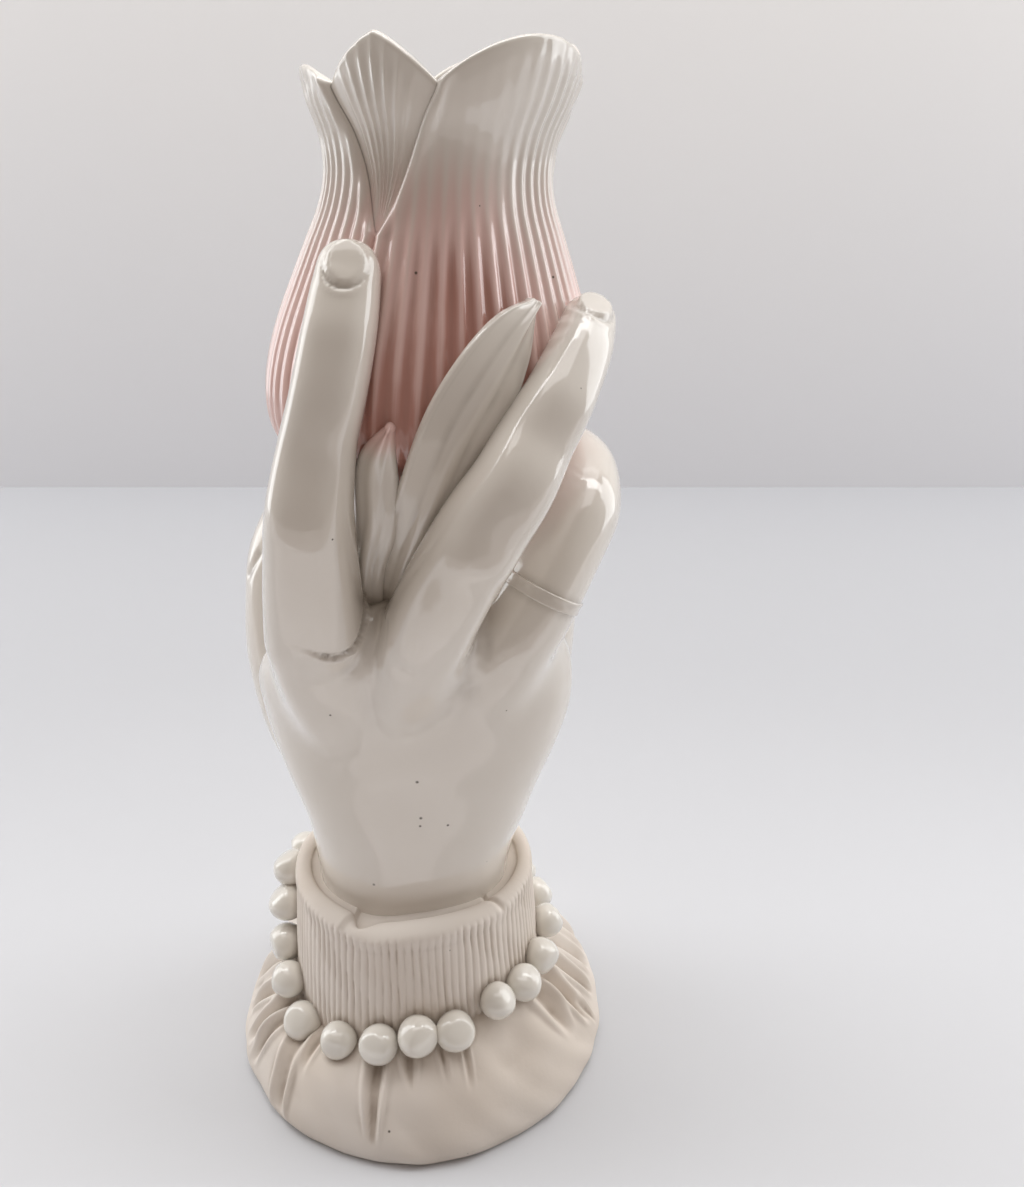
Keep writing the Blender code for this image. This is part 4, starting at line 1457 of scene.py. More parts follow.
    def palm_path(self) -> Path:
        """Stations of the wrist and palm.

        Returns:
            The path.
        """
        top, cuff = self.stack.knuckles, self.stack.cuff_top
        length = top - cuff
        palm = (
            (-0.9, 0.0, 0.68 * cuff, 0.99, 0.98, 0.0),
            (-0.9, 0.0, 0.84 * cuff, 0.99, 0.99, 0.0),
            (-0.8, 0.0, cuff, 1.0, 1.0, 0.0),
            (-0.4, 0.0, cuff + 0.15 * length, 1.0, 1.0, 0.13),
            (0.2, -0.4, cuff + 0.30 * length, 1.0, 1.0, 0.38),
            (0.6, -1.0, cuff + 0.47 * length, 1.0, 1.0, 0.68),
            (1.2, -2.4, cuff + 0.64 * length, 1.0, 1.0, 0.91),
            (1.8, -5.0, cuff + 0.80 * length, 1.0, 0.92, 1.0),
            (1.5, -8.6, cuff + 0.91 * length, 0.95, 0.78, 1.0),
            (1.0, -11.6, top - 1.0, 0.84, 0.60, 1.0),
        )
        stations = []
        for x, y, height, wide, deep, spread in palm:
            half_width = self.stack.wrist_half_width
            half_width += spread * (self.stack.palm_half_width - half_width)
            half_depth = self.stack.wrist_half_depth
            half_depth += spread * (self.stack.palm_half_depth - half_depth)
            stations.append((x, y, height, wide * half_width, deep * half_depth))
        return Path(stations)

    def stem_path(self) -> Path:
        """Stations of the tulip's stem, from inside the palm to the flower.

        Returns:
            The path.
        """
        top, size = self.stack.knuckles, self.stack.palm_half_width
        below = -0.7 * self.stem_radius
        end = self.tulip.centre(np.array([below]))[0]
        rise = self.stack.flower_bottom - top
        stations = [(1.0, -1.0, top - 0.4 * size), (3.2, 3.0, top + 0.25 * rise), tuple(end)]
        return Path([(*spot, self.stem_radius, self.stem_radius) for spot in stations])

    def hollow(self) -> bmesh.types.BMesh:
        """What a casting leaves empty: the wrist's hollow, and all that lies below the wrist.

        Returns:
            The form.
        """
        wide = self.stack.wrist_half_width - self.stack.hollow_wall
        deep = self.stack.wrist_half_depth - self.stack.hollow_wall
        top, end = self.stack.hollow_top, self.wrist_end
        profile = (
            (0.0, 0.0),
            (0.01, 26.0),
            (end - 0.2, 26.0),
            (end, 1.0),
            (top - 5.0, 0.0),
            (top - 1.5, -0.3 * wide),
            (top, -wide),
        )
        heights, grown = np.array(profile).T

        def rule(around: Array, along: Array) -> Array:
            """Places on the hollow.

            Args:
                around: Share of the way round.
                along: Share of the way along.

            Returns:
                One place for each corner.
            """
            step = np.round(along * (len(profile) - 1)).astype(int)
            way = turned(360.0 * around)
            x = np.maximum(0.0, wide + grown[step]) * (step > 0)
            y = np.maximum(0.0, deep + grown[step]) * (step > 0) * (step < len(profile) - 1)
            return np.stack([way[:, 0] * x, way[:, 1] * y, heights[step]], axis=-1)

        return pressed(48, len(profile) - 1, rule)

    def hollowed(self, name: str, form: bmesh.types.BMesh) -> bmesh.types.BMesh:
        """A form less what the casting leaves empty.

        Args:
            name: Name of the form.
            form: The form, which is used up.

        Returns:
            What is left.
        """
        body = in_scene(name, merged(name, [form]))
        cutter = in_scene(HOLLOW, merged(HOLLOW, [self.hollow()]))
        cut = body.modifiers.new("cut", "BOOLEAN")
        cut.operation = "DIFFERENCE"
        cut.solver = "EXACT"
        cut.object = cutter
        mesh = applied(body, cutter)
        left = bmesh.new()
        left.from_mesh(mesh)
        return left

    def digits(self) -> dict[str, Limb]:
        """The digits and the stem, by name.

        Returns:
            The limbs.
        """
        return {
            "index": Limb(
                self.digit_path(self.index_reach, self.index_grip),
                self.index_facing,
                2.7,
                humps=((4.9, 0.45, 0.45), (8.1, 0.2, 0.3)),
            ),
            "middle": Limb(
                self.digit_path(self.middle_reach, self.middle_grip),
                self.middle_facing,
                2.7,
                humps=((4.7, 1.0, 0.34), (7.9, 0.3, 0.3)),
            ),
            "ring": Limb(self.digit_path(self.ring_reach), humps=((5.1, 0.5, 0.4),)),
            "little": Limb(self.digit_path(self.little_reach), humps=((3.5, 0.4, 0.5),)),
            "thumb": Limb(self.digit_path(self.thumb_reach), humps=((3.9, 0.5, 0.4),)),
            "stem": Limb(self.stem_path(), squareness=2.0),
        }

    def shaped(self) -> bpy.types.Mesh:
        """The hand as one skin.

        Returns:
            The mesh, in millimetres.
        """
        digits = self.digits()
        forms = {name: limb.form() for name, limb in digits.items()}
        forms["palm"] = Limb(self.palm_path(), 0.0, 2.1, cap=0.1).form(72, 60)
        for name in ("palm", "thumb"):
            forms[name] = self.hollowed(name, forms[name])
        body = in_scene(self.name, merged(self.name, list(forms.values())))
        skin = body.modifiers.new("skin", "REMESH")
        skin.mode = "VOXEL"
        skin.voxel_size = self.voxel
        soften = body.modifiers.new("soften", "SMOOTH")
        soften.factor = 0.5
        soften.iterations = self.smoothing
        mesh = applied(body)
        clay = Clay(mesh)
        self.work(clay, digits)
        write_spots(mesh, clay.spots)
        return mesh

    def work(self, clay: "Clay", digits: dict[str, Limb]) -> None:
        """Works nails, creases and dimples into the skin.

        Args:
            clay: The skin.
            digits: The limbs by name.
        """
        _, y, z = clay.spots.T
        low, high = self.knuckle_zone
        knuckles = ease((z - low) / self.knuckle_fade) * ease((high - z) / self.knuckle_fade)
        knuckles = knuckles * ease((-self.knuckle_front - y) / self.knuckle_front)
        clay.soften(knuckles, self.knuckle_rounds)
        for nail in NAILS:
            clay.nail(digits[nail.digit], nail)
        clay.step(self.index_base, width=2.2, height=0.8)
        clay.groove(self.index_base, width=0.42, depth=0.6)
        for *centre, radius in self.dimples:
            clay.dimple(centre, radius, self.dimple_depth)
        clay.groove(self.thumb_crease, width=0.8, depth=0.5)


@dataclass
class Clay:
    """A skin whose corners are pushed and drawn as soft clay is.

    A line is felt within the margin of it, and no deeper under the surface than the thickness.
    """

    mesh: bpy.types.Mesh
    far: float = 1000.0
    margin: float = 6.0
    thickness: float = 2.5

    def __post_init__(self) -> None:
        """Reads the skin."""
        self.spots = read_spots(self.mesh)
        self.normals = normals_of(self.mesh)

    def line_offsets(self, points: tuple[Spot, ...]) -> tuple[Array, Array]:
        """Distance over the surface from each corner to a line, and on which side of it that is.

        Args:
            points: Places on the line, near the surface.

        Returns:
            Distances, which are far where the line isn't near, and 1 on the line's left, -1 on its right.
        """
        path = Path([(*point, 0.0, 0.0) for point in points])
        t = np.linspace(0.0, path.last, 16 * len(points))
        line, way = path.at(t)[:, :3], path.heading(t)
        away = np.full(len(self.spots), self.far)
        side = np.zeros(len(self.spots))
        low, high = line.min(axis=0) - self.margin, line.max(axis=0) + self.margin
        near = np.flatnonzero(np.all((self.spots > low) & (self.spots < high), axis=1))
        offset = self.spots[near][:, None, :] - line[None, :, :]
        nearest = np.argmin(np.sum(offset**2, axis=2), axis=1)
        offset = offset[np.arange(len(near)), nearest]
        normal = self.normals[near]
        lift = np.sum(offset * normal, axis=1)
        flat = offset - normal * lift[:, None]
        distance = np.linalg.norm(flat, axis=1)
        away[near] = np.where(np.abs(lift) < self.thickness, distance, self.far)
        side[near] = np.sign(np.sum(np.cross(way[nearest], offset) * normal, axis=1))
        return away, side

    def soften(self, share: Array, rounds: int) -> None:
        """Draws corners towards a softened skin, each by its share.

        Args:
            share: Share for each corner.
            rounds: Softening rounds.
        """
        write_spots(self.mesh, self.spots)
        self.spots += (softened(self.mesh, rounds) - self.spots) * share[:, None]
        write_spots(self.mesh, self.spots)
        self.normals = normals_of(self.mesh)

    def groove(self, points: tuple[Spot, ...], width: float, depth: float) -> None:
        """Cuts a soft groove along a line."""
        away, _ = self.line_offsets(points)
        self.spots -= self.normals * (depth * hump(away / width))[:, None]

    def step(self, points: tuple[Spot, ...], width: float, height: float) -> None:
        """Raises the skin on the left of a line, dying away from it.

        Args:
            points: Places on the line.
            width: How far the rise reaches.
            height: Its height.
        """
        away, side = self.line_offsets(points)
        raised = height * (side > 0.0) * np.exp(-away / width) * ease(away / 0.5)
        self.spots += self.normals * raised[:, None]

    def dimple(self, centre: Spot, radius: float, depth: float) -> None:
        """Presses a round dimple."""
        away = np.linalg.norm(self.spots - np.array(centre), axis=1)
        self.spots -= self.normals * (depth * hump(away / (0.6 * radius)))[:, None]

    def nail(self, limb: Limb, nail: Nail) -> None:
        """Flattens a nail onto a fingertip, with a groove round it and a raised root.

        Args:
            limb: The finger.
            nail: The nail.
        """
        section = limb.section(np.array([limb.path.last - nail.back]))
        centre, _, deep, direction, outward, side = (values[0] for values in section)
        angle, lean = math.radians(nail.turn), math.radians(nail.tilt)
        outward, side = (
            outward * math.cos(angle) - side * math.sin(angle),
            side * math.cos(angle) + outward * math.sin(angle),
        )
        outward, direction = (
            outward * math.cos(lean) + direction * math.sin(lean),
            direction * math.cos(lean) - outward * math.sin(lean),
        )
        offset = self.spots - centre
        across = offset @ side / nail.half_width
        along = offset @ direction / nail.half_length
        height = offset @ outward
        off = np.sqrt(across**2 + along**2)
        plate = deep - nail.sunk + nail.arch * (1.0 - off**2) + nail.root_lift * ease(-along)
        front = height > 0.3 * deep
        inside = ease((nail.plate_end - off) / 0.14) * front
        self.spots += outward * ((plate - height) * inside)[:, None]
        rim = hump((off - nail.rim_place) / nail.rim_width) * front
        self.spots -= outward * (nail.rim * rim)[:, None]
        cuticle = hump((off - nail.cuticle_place) / nail.cuticle_width) * ease(-2.0 * along) * front
        self.spots += outward * (nail.cuticle * cuticle)[:, None]


@dataclass
class Leaf(Piece):
    """A leaf that rises from the hand and lies flat on the flower."""

    hand: Hand | None = None
    foot: Table = ()
    top: Table = ()
    thickness: float = 1.5
    lift: float = 0.4
    ridge: float = 0.8
    ridges: int = 3
    tip_blush: float = 0.0
    tip_reach: float = 8.0

    def shaped(self) -> bpy.types.Mesh:
        """The leaf.

        Returns:
            The mesh, in millimetres.
        """
        stations = self.hand.free_stations(self.foot)
        for azimuth, share, half_width in self.top:
            centre = self.hand.on_flower(azimuth, share, self.lift)
            half_width = half_width * self.hand.stack.palm_half_width
            stations.append((*centre, half_width, self.thickness))
        limb = Limb(Path(stations), None, 2.2, ridge=self.ridge, ridges=self.ridges, cap=0.05)
        mesh = merged(self.name, [limb.form(72, 150)])
        height = read_spots(mesh)[:, 2]
        past = height - height.max() + self.tip_reach
        put_values(mesh, BLUSH, self.tip_blush * ease(past / self.tip_reach))
        return mesh


@dataclass
class FingerBand(Piece):
    """The plain ring on the ring finger: a flat band with a ridge along each edge."""

    hand: Hand | None = None
    place: float = 3.55
    thickness: float = 1.0
    half_width: float = 1.2
    middle_share: float = 0.45

    def shaped(self) -> bpy.types.Mesh:
        """The band.

        Returns:
            The mesh, in millimetres.
        """
        limb = self.hand.digits()["ring"]

        def rule(around: Array, turn: Array) -> Array:
            """Places on the band, round the finger and then round its own section.

            Args:
                around: Share of the way round the finger.
                turn: Share of the way round the section.

            Returns:
                One place for each corner.
            """
            t = np.full(len(around), self.place)
            centre, wide, deep, direction, outward, side = limb.section(t)
            angle, section = 2.0 * math.pi * around, 2.0 * math.pi * turn
            across, up = np.cos(angle)[:, None], np.sin(angle)[:, None]
            spoke = side * across + outward * up
            middle = centre + side * wide[:, None] * across + outward * deep[:, None] * up
            edge, lift = np.sin(section), np.cos(section)
            swell = self.middle_share * (1.0 + edge**2) * self.thickness
            rise = np.sign(lift) * np.sqrt(np.abs(lift)) * swell
            return middle + spoke * rise[:, None] + direction * (self.half_width * edge)[:, None]

        return merged(self.name, [pressed(90, 28, rule)])


@dataclass
class Cuff(Piece):
    """The upright band: fine pleats, a thick rolled top, and a wall behind it."""

    stack: Stack = field(default_factory=Stack)
    bottom_radius: float = 27.0
    top_radius: float = 24.9
    edge: float = 3.2
    pleats: int = 104
    pleat_depth: float = 0.5
    pleat_width: float = 0.19
    pleat_shares: Span = (0.45, 1.0)
    pleat_ends: Span = (0.2, 1.0)
    swell: float = 0.3
    fold_drop: float = 0.8
    slit_drop: float = 0.7
    front_edge: float = 6.2
    crevice: float = 1.8
    shift: float = -0.7
    notch_azimuth: float = -31.0
    slit_azimuth: float = 50.0
    wrist_overlap: float = 1.2
    wall_end: float = 0.62
    roll_end: float = 0.80
    dip_end: float = 0.86
    pleat_end: float = 0.67
    columns: int = 936
    rows: int = 84
    seed: int = 11

    def radius(self, height: Array) -> Array:
        """Radius of the plain band at a height."""
        taper = np.clip((height - self.stack.seam) / (self.stack.cuff_top - self.stack.seam), 0.0, 1.0)
        return self.bottom_radius + (self.top_radius - self.bottom_radius) * taper

    def rim_height(self, azimuth: Array) -> Array:
        """Height of the rolled edge, which folds over itself at the notch.

        Args:
            azimuth: Azimuths in degrees.

        Returns:
            One height for each azimuth.
        """
        wave = 0.35 * np.sin(np.radians(3.0 * azimuth)) + 0.25 * wander(azimuth, 5, 3)
        off = apart(azimuth, self.notch_azimuth)
        fold = -self.fold_drop * ease((off + 2.0) / 4.0) * ease((38.0 - off) / 30.0)
        slit = -self.slit_drop * hump(apart(azimuth, self.slit_azimuth) / 1.6)
        return self.stack.cuff_top + wave + fold + slit

    def pleating(self, azimuth: Array, height: Array) -> Array:
        """Depth of the pleats: narrow grooves of uneven depth that fade at the rolled edge.

        Args:
            azimuth: Azimuths in degrees.
            height: Heights in millimetres.

        Returns:
            One depth for each azimuth.
        """
        draw = np.random.default_rng(self.seed)
        count = self.pleats
        place = azimuth / 360.0 * count + 0.12 * wander(azimuth, 7, 5)
        place = place + 0.04 * np.sin(height * 0.3 + azimuth * 0.2)
        nearest = np.round(place).astype(int)
        off = place - nearest
        index = nearest % count
        depth = draw.uniform(*self.pleat_shares, count)[index]
        top = self.stack.cuff_top - draw.uniform(*self.pleat_ends, count)[index]
        fade = ease((top - height) / 1.2)
        worn = 0.55 + 0.45 * np.clip(0.5 + wander(azimuth + 2.0 * height, 9, 8), 0.0, 1.0)
        return self.pleat_depth * depth * hump(off / self.pleat_width) * fade * worn

    def shaped(self) -> bpy.types.Mesh:
        """The band, closed on its inside.

        Returns:
            The mesh, in millimetres.
        """
        seam, top = self.stack.seam, self.stack.cuff_top
        low = 0.7 * seam
        inner_low = 1.6 * seam
        roll = 0.5 * self.edge

        def rule(around: Array, along: Array) -> Array:
            """Places on the band: up the outside, over the roll and down behind it.

            Args:
                around: Share of the way round.
                along: Share of the way along.

            Returns:
                One place for each corner.
            """
            azimuth = 360.0 * around
            rim = self.rim_height(azimuth) - top
            stops = [0.0, self.wall_end, self.roll_end, self.dip_end, 1.0]
            up = np.interp(along, stops, [0.0, 1.0, 1.0, 1.0, 0.0])
            turn = math.pi * np.clip((along - self.wall_end) / (self.roll_end - self.wall_end), 0.0, 1.0)
            height = low + (top - roll - low) * up
            swollen = self.swell * ease((height - (top - 1.3 * self.edge)) / (0.7 * self.edge))
            pleated = np.clip((self.pleat_end - along) / 0.05, 0.0, 1.0)
            out = self.radius(height) + swollen - self.pleating(azimuth, height) * pleated
            wrist_x = self.stack.wrist_half_width - self.wrist_overlap
            wrist_y = self.stack.wrist_half_depth - self.wrist_overlap
            way = turned(azimuth)
            inner = np.stack([way[:, 0] * wrist_x, way[:, 1] * wrist_y], axis=-1)
            roll_top = top - roll + roll * np.sin(turn)
            front = np.clip(-way[:, 1], 0.0, 1.0) ** 1.5
            half_edge = 0.5 * (self.edge + (self.front_edge - self.edge) * front)
            half_edge *= 1.0 - 0.5 * hump((apart(azimuth, self.notch_azimuth) - 7.0) / 6.0)
            roll_in = way[:, :2] * (out - half_edge * (1.0 - np.cos(turn)))[:, None]
            past = np.clip((along - self.roll_end) / (self.dip_end - self.roll_end), 0.0, 1.0)
            spot = roll_in + (inner - roll_in) * past[:, None]
            dip = top - roll - (self.crevice - roll) * np.sin(0.5 * math.pi * past)
            behind = np.clip((along - self.dip_end) / (1.0 - self.dip_end), 0.0, 1.0)
            back = top - self.crevice + (inner_low - top + self.crevice) * behind
            level = np.where(along <= self.wall_end, height, roll_top)
            level = np.where(along > self.roll_end, dip, level)
            level = np.where(along > self.dip_end, back, level)
            level = np.where(along == 1.0, low, level)
            outer = way[:, :2] * self.bottom_radius
            spot = np.where((along > self.dip_end)[:, None], inner, spot)
            spot = np.where((along == 1.0)[:, None], outer, spot)
            lift = rim * ease((level - seam) / (top - seam))
            return np.column_stack([spot[:, 0] + self.shift, spot[:, 1], level + lift])

        return merged(self.name, [pressed(self.columns, self.rows, rule)])


@dataclass
class PearlString(Piece):
    """The bracelet: glazed pearls, each a little different. It climbs over the cuff behind."""

    cuff: Cuff | None = None
    radius: float = 3.9
    seat: float = 1.6
    places: tuple[Span, ...] = (
        (-97.0, 18.5), (-88.0, 12.5), (-81.0, 4.5), (-67.0, 0.5), (-52.0, -4.4), (-29.0, -1.6),
        (-11.0, 0.5), (4.4, 3.0), (19.6, 2.7), (39.0, 5.9), (54.0, 5.2), (71.0, 5.3),
        (91.0, 6.0), (112.0, 4.7), (127.0, 6.5), (142.0, 8.5), (157.0, 10.5), (172.5, 12.5),
        (187.5, 14.0), (202.5, 15.5), (217.5, 16.5), (232.5, 17.5), (248.0, 18.2),
    )
    growths: Span = (-0.06, 0.05)
    flat_from: float = 0.72
    flat_depths: Span = (0.4, 0.8)
    lumpiness: float = 0.03
    seed: int = 4

    def centres(self) -> Array:
        """Middles of the pearls.

        Returns:
            One place for each pearl.
        """
        azimuth, rise = np.array(self.places).T
        height = self.cuff.stack.seam + rise
        reach = self.cuff.radius(height) + self.radius - self.seat
        spots = turned(azimuth) * reach[:, None]
        spots[:, 0] += self.cuff.shift
        spots[:, 2] = height
        return spots

    def shaped(self) -> bpy.types.Mesh:
        """All the pearls in one mesh.

        Returns:
            The mesh, in millimetres.
        """
        draw = np.random.default_rng(self.seed)
        pearls = []
        for (azimuth, _), centre in zip(self.places, self.centres()):
            pearl = bmesh.new()
            bmesh.ops.create_uvsphere(pearl, u_segments=40, v_segments=24, radius=self.radius)
            spots = corners(pearl)
            spots *= 1.0 + draw.uniform(*self.growths)
            way = unit(spots)
            flat = unit(np.array([0.0, -1.0, 0.35]) + 0.4 * draw.normal(size=3))
            face = np.clip(way @ flat - self.flat_from, 0.0, 1.0)
            spots -= way * (face * self.radius * draw.uniform(*self.flat_depths))[:, None]
            lump = unit(draw.normal(size=3))
            spots *= (1.0 + self.lumpiness * np.sin(3.0 * (way @ lump)))[:, None]
            place_corners(pearl, spots)
            turn = Matrix.Rotation(math.radians(azimuth), 4, "Z")
            bmesh.ops.transform(pearl, matrix=Matrix.Translation(centre) @ turn, verts=pearl.verts)
            pearls.append(pearl)
        return merged(self.name, pearls)


@dataclass(frozen=True)
class Fold:
    """A fold in the frill, from under the pearls towards the hem."""

    top: float
    foot: float
    start: float
    end: float
    half_width: float
    depth: float
    taper: float = 0.2
    lip: float = 0.35
    flat: float = 1.0

    def depth_at(self, azimuth: Array, share: Array) -> Array:
        """How far the cloth is drawn in at each place.

        Args:
            azimuth: Azimuths in degrees.
            share: Share of the way from the seam to the table.

        Returns:
            One depth for each azimuth.
        """
        run = np.clip((share - self.start) / (self.end - self.start), 0.0, 1.0)
        middle = self.top + (self.foot - self.top) * run
        half = self.half_width * (1.0 + (self.taper - 1.0) * run)
        off = np.abs(apart(azimuth, middle)) / half
        strength = ease((share - self.start + 0.08) / 0.14) * ease((self.end - share) / 0.25)
        cut = np.exp(-(off ** (2.0 * self.flat)))
        lips = hump((off - 1.9) / 0.6)
        return strength * self.depth * (cut - self.lip * lips)


@dataclass
class Frill(Piece):
    """The foot: gathered cloth with folds, a rounded hem, and the hollow under it."""

    stack: Stack = field(default_factory=Stack)
    cuff: Cuff | None = None
    shoulder: float = 12.0
    foot_rim: float = 6.5
    outer_end: float = 0.78
    hem_roll: float = 1.1
    broad_swell: float = 0.5
    fine_swell: float = 0.24
    sag: float = 1.1
    sag_azimuth: float = 38.0
    columns: int = 720
    rows: int = 118
    rise: Profile = field(
        default_factory=lambda: Profile(
            (-180.0, 11.0),
            (-135.0, 12.0),
            (-100.0, 9.0),
            (-80.0, 2.5),
            (-55.0, -4.5),
            (-30.0, -2.5),
            (0.0, 1.0),
            (40.0, 5.0),
            (75.0, 5.5),
            (110.0, 5.0),
            (150.0, 8.0),
            turn=360.0,
        )
    )
    folds: tuple[Fold, ...] = (
        Fold(-13.0, -10.5, 0.18, 0.80, 2.7, 1.9, 0.3, 0.3, 1.6),
        Fold(21.5, 20.0, 0.14, 0.50, 1.0, 0.8, 0.8, 0.5),
        Fold(-49.0, -43.0, 0.25, 0.95, 2.3, 1.3, 0.8, 0.6),
        Fold(-41.5, -38.5, 0.22, 0.55, 1.6, 1.0, 0.6, 0.4),
        Fold(-1.0, 1.0, 0.18, 0.46, 2.2, 1.7, 0.3, 0.3, 1.4),
        Fold(12.0, 13.0, 0.20, 0.44, 1.2, 0.7, 0.6, 0.4),
        Fold(-59.5, -63.0, 0.28, 0.84, 1.9, 1.5, 0.6),
        Fold(-64.5, -69.5, 0.24, 0.78, 1.9, 2.1, 0.6),
        Fold(-72.0, -82.0, 0.24, 0.75, 2.3, 2.3, 0.5),
        Fold(-86.0, -94.0, 0.24, 0.75, 2.8, 1.8, 0.5),
        Fold(60.0, 64.0, 0.22, 0.60, 3.2, 2.1, 0.4),
        Fold(69.0, 76.0, 0.22, 0.72, 2.5, 2.4, 0.5),
        Fold(79.0, 88.0, 0.22, 0.72, 2.3, 2.2, 0.5),
        Fold(76.0, 78.0, 0.50, 0.80, 1.0, 0.9, 0.6, 0.5),
        Fold(91.0, 101.0, 0.22, 0.75, 3.0, 1.9, 0.5),
        Fold(108.0, 113.0, 0.22, 0.80, 3.0, 2.0, 0.5),
        Fold(121.0, 125.0, 0.22, 0.70, 2.6, 1.6, 0.4),
        Fold(134.0, 136.0, 0.22, 0.85, 3.2, 2.1, 0.5),
        Fold(148.0, 145.0, 0.22, 0.75, 2.8, 1.7, 0.6),
        Fold(161.0, 163.0, 0.22, 0.85, 3.0, 2.0, 0.5),
        Fold(174.0, 172.0, 0.22, 0.70, 2.8, 1.7, 0.4),
        Fold(187.0, 190.0, 0.22, 0.85, 3.2, 2.1, 0.5),
        Fold(200.0, 197.0, 0.22, 0.75, 2.8, 1.7, 0.6),
        Fold(213.0, 215.0, 0.22, 0.85, 3.0, 2.0, 0.5),
        Fold(226.0, 222.0, 0.22, 0.75, 2.8, 1.8, 0.4),
        Fold(239.0, 236.0, 0.22, 0.85, 3.2, 2.1, 0.5),
        Fold(254.0, 251.0, 0.22, 0.75, 2.8, 1.8, 0.6),
    )

    def plain(self, azimuth: Array, share: Array) -> tuple[Array, Array]:
        """Radius and height of the cloth without its folds, from the seam at 0 to the table at 1.

        Args:
            azimuth: Azimuths in degrees.
            share: Share of the way down.

        Returns:
            The radii and the heights.
        """
        seam = self.stack.seam + self.rise.at(azimuth)
        foot, shoulder = self.stack.foot_radius, self.shoulder
        inner = self.cuff.bottom_radius
        places = (0.0, 0.22, 0.45, 0.65, 0.85, 1.0)
        widths = (inner - 5.0, inner + 2.0, foot - 5.0, foot - 1.6, foot + 0.4, foot - 0.4)
        radii = Profile(*zip(places, widths))
        swells = (0.0, 0.4 * (shoulder + 3.0), shoulder - 0.5, 0.66 * shoulder, 0.25 * shoulder, 0.0)
        low = Profile(*zip(places, swells))
        part = Profile((0.0, 1.0), (0.22, 0.6), (0.45, 0.1), (0.65, 0.0), (1.0, 0.0))
        height = low.at(share) + part.at(share) * seam
        return radii.at(share), height

    def outside(self, azimuth: Array, share: Array) -> tuple[Array, Array]:
        """Radius and height of the folded cloth.

        Args:
            azimuth: Azimuths in degrees.
            share: Share of the way from the seam to the table.

        Returns:
            The radii and the heights.
        """
        radius, height = self.plain(azimuth, share)
        drawn = sum(fold.depth_at(azimuth, share) for fold in self.folds)
        live = ease(share / 0.2) * ease((1.0 - share) / 0.06)
        broad = self.broad_swell * wander(azimuth + 20.0 * share, 6, 31)
        swell = broad + self.fine_swell * wander(azimuth - 35.0 * share, 17, 37)
        sag = self.sag * hump(apart(azimuth, self.sag_azimuth) / 9.0) * hump((share - 0.40) / 0.14)
        drawn = drawn * live + (sag - swell * 0.6) * live
        slope = ease((share - 0.25) / 0.45)
        height = np.maximum(height - drawn * (0.85 - 0.6 * slope), 0.0)
        return radius - drawn * (0.45 + 0.5 * slope), height

    def shaped(self) -> bpy.types.Mesh:
        """The frill, closed over its foot ring and up the hollow.

        Returns:
            The mesh, in millimetres.
        """
        foot = self.stack.foot_radius
        wide = self.stack.wrist_half_width - self.stack.hollow_wall
        deep = self.stack.wrist_half_depth - self.stack.hollow_wall
        rim = foot - self.foot_rim
        top = 0.8 * self.stack.cuff_top
        places = (0.0, 0.08, 0.2, 0.32, 0.6, 0.85, 1.0)
        ring = (foot - 1.6, rim, rim - 1.0, rim - 5.0)
        hollow_x = Profile(*zip(places, (*ring, wide + 2.5, wide + 0.6, wide + 2.6)))
        hollow_y = Profile(*zip(places, (*ring, deep + 4.0, deep + 0.8, deep + 2.8)))
        vault = (0.35 * self.shoulder, 0.62 * self.shoulder, 0.9 * self.stack.seam)
        hollow_z = Profile(*zip(places, (0.0, 0.0, *vault, top, top)))

        def rule(around: Array, along: Array) -> Array:
            """Places on the frill: down the outside, across the foot and up the hollow.

            Args:
                around: Share of the way round.
                along: Share of the way along.

            Returns:
                One place for each corner.
            """
            azimuth = 360.0 * around
            share = np.clip(along / self.outer_end, 0.0, 1.0)
            radius, height = self.outside(azimuth, share)
            hem = ease((share - 0.955) / 0.045)
            radius = radius - self.hem_roll * hem**2
            under = np.clip((along - self.outer_end) / (1.0 - self.outer_end), 0.0, 1.0)
            way = turned(azimuth)
            out = way[:, :2] * radius[:, None]
            below = np.stack([way[:, 0] * hollow_x.at(under), way[:, 1] * hollow_y.at(under)], axis=-1)
            below_cloth = along > self.outer_end
            spot = np.where(below_cloth[:, None], below, out)
            level = np.where(below_cloth, np.maximum(hollow_z.at(under), 0.0), height)
            closing = along == 1.0
            first, first_height = self.outside(azimuth, np.zeros_like(azimuth))
            spot = np.where(closing[:, None], way[:, :2] * first[:, None], spot)
            level = np.where(closing, first_height, level)
            return np.column_stack([spot, level])

        return merged(self.name, [pressed(self.columns, self.rows, rule)])


# The room


@dataclass(frozen=True)
class Lamp:
    """A soft rectangular lamp: its place, what it faces, its width and height, and its watts."""

    name: str
    spot: Spot
    target: Spot
    size: Span
    power: float
    colour: Colour

    def hang(self) -> None:
        """Puts the lamp into the scene."""
        data = bpy.data.lights.new(self.name, "AREA")
        data.shape = "RECTANGLE"
        data.size, data.size_y = self.size
        data.energy = self.power
        data.color = self.colour
        lamp = in_scene(self.name, data)
        lamp.location = self.spot
        way = Vector(self.target) - Vector(self.spot)
        lamp.rotation_euler = way.to_track_quat("-Z", "Y").to_euler()


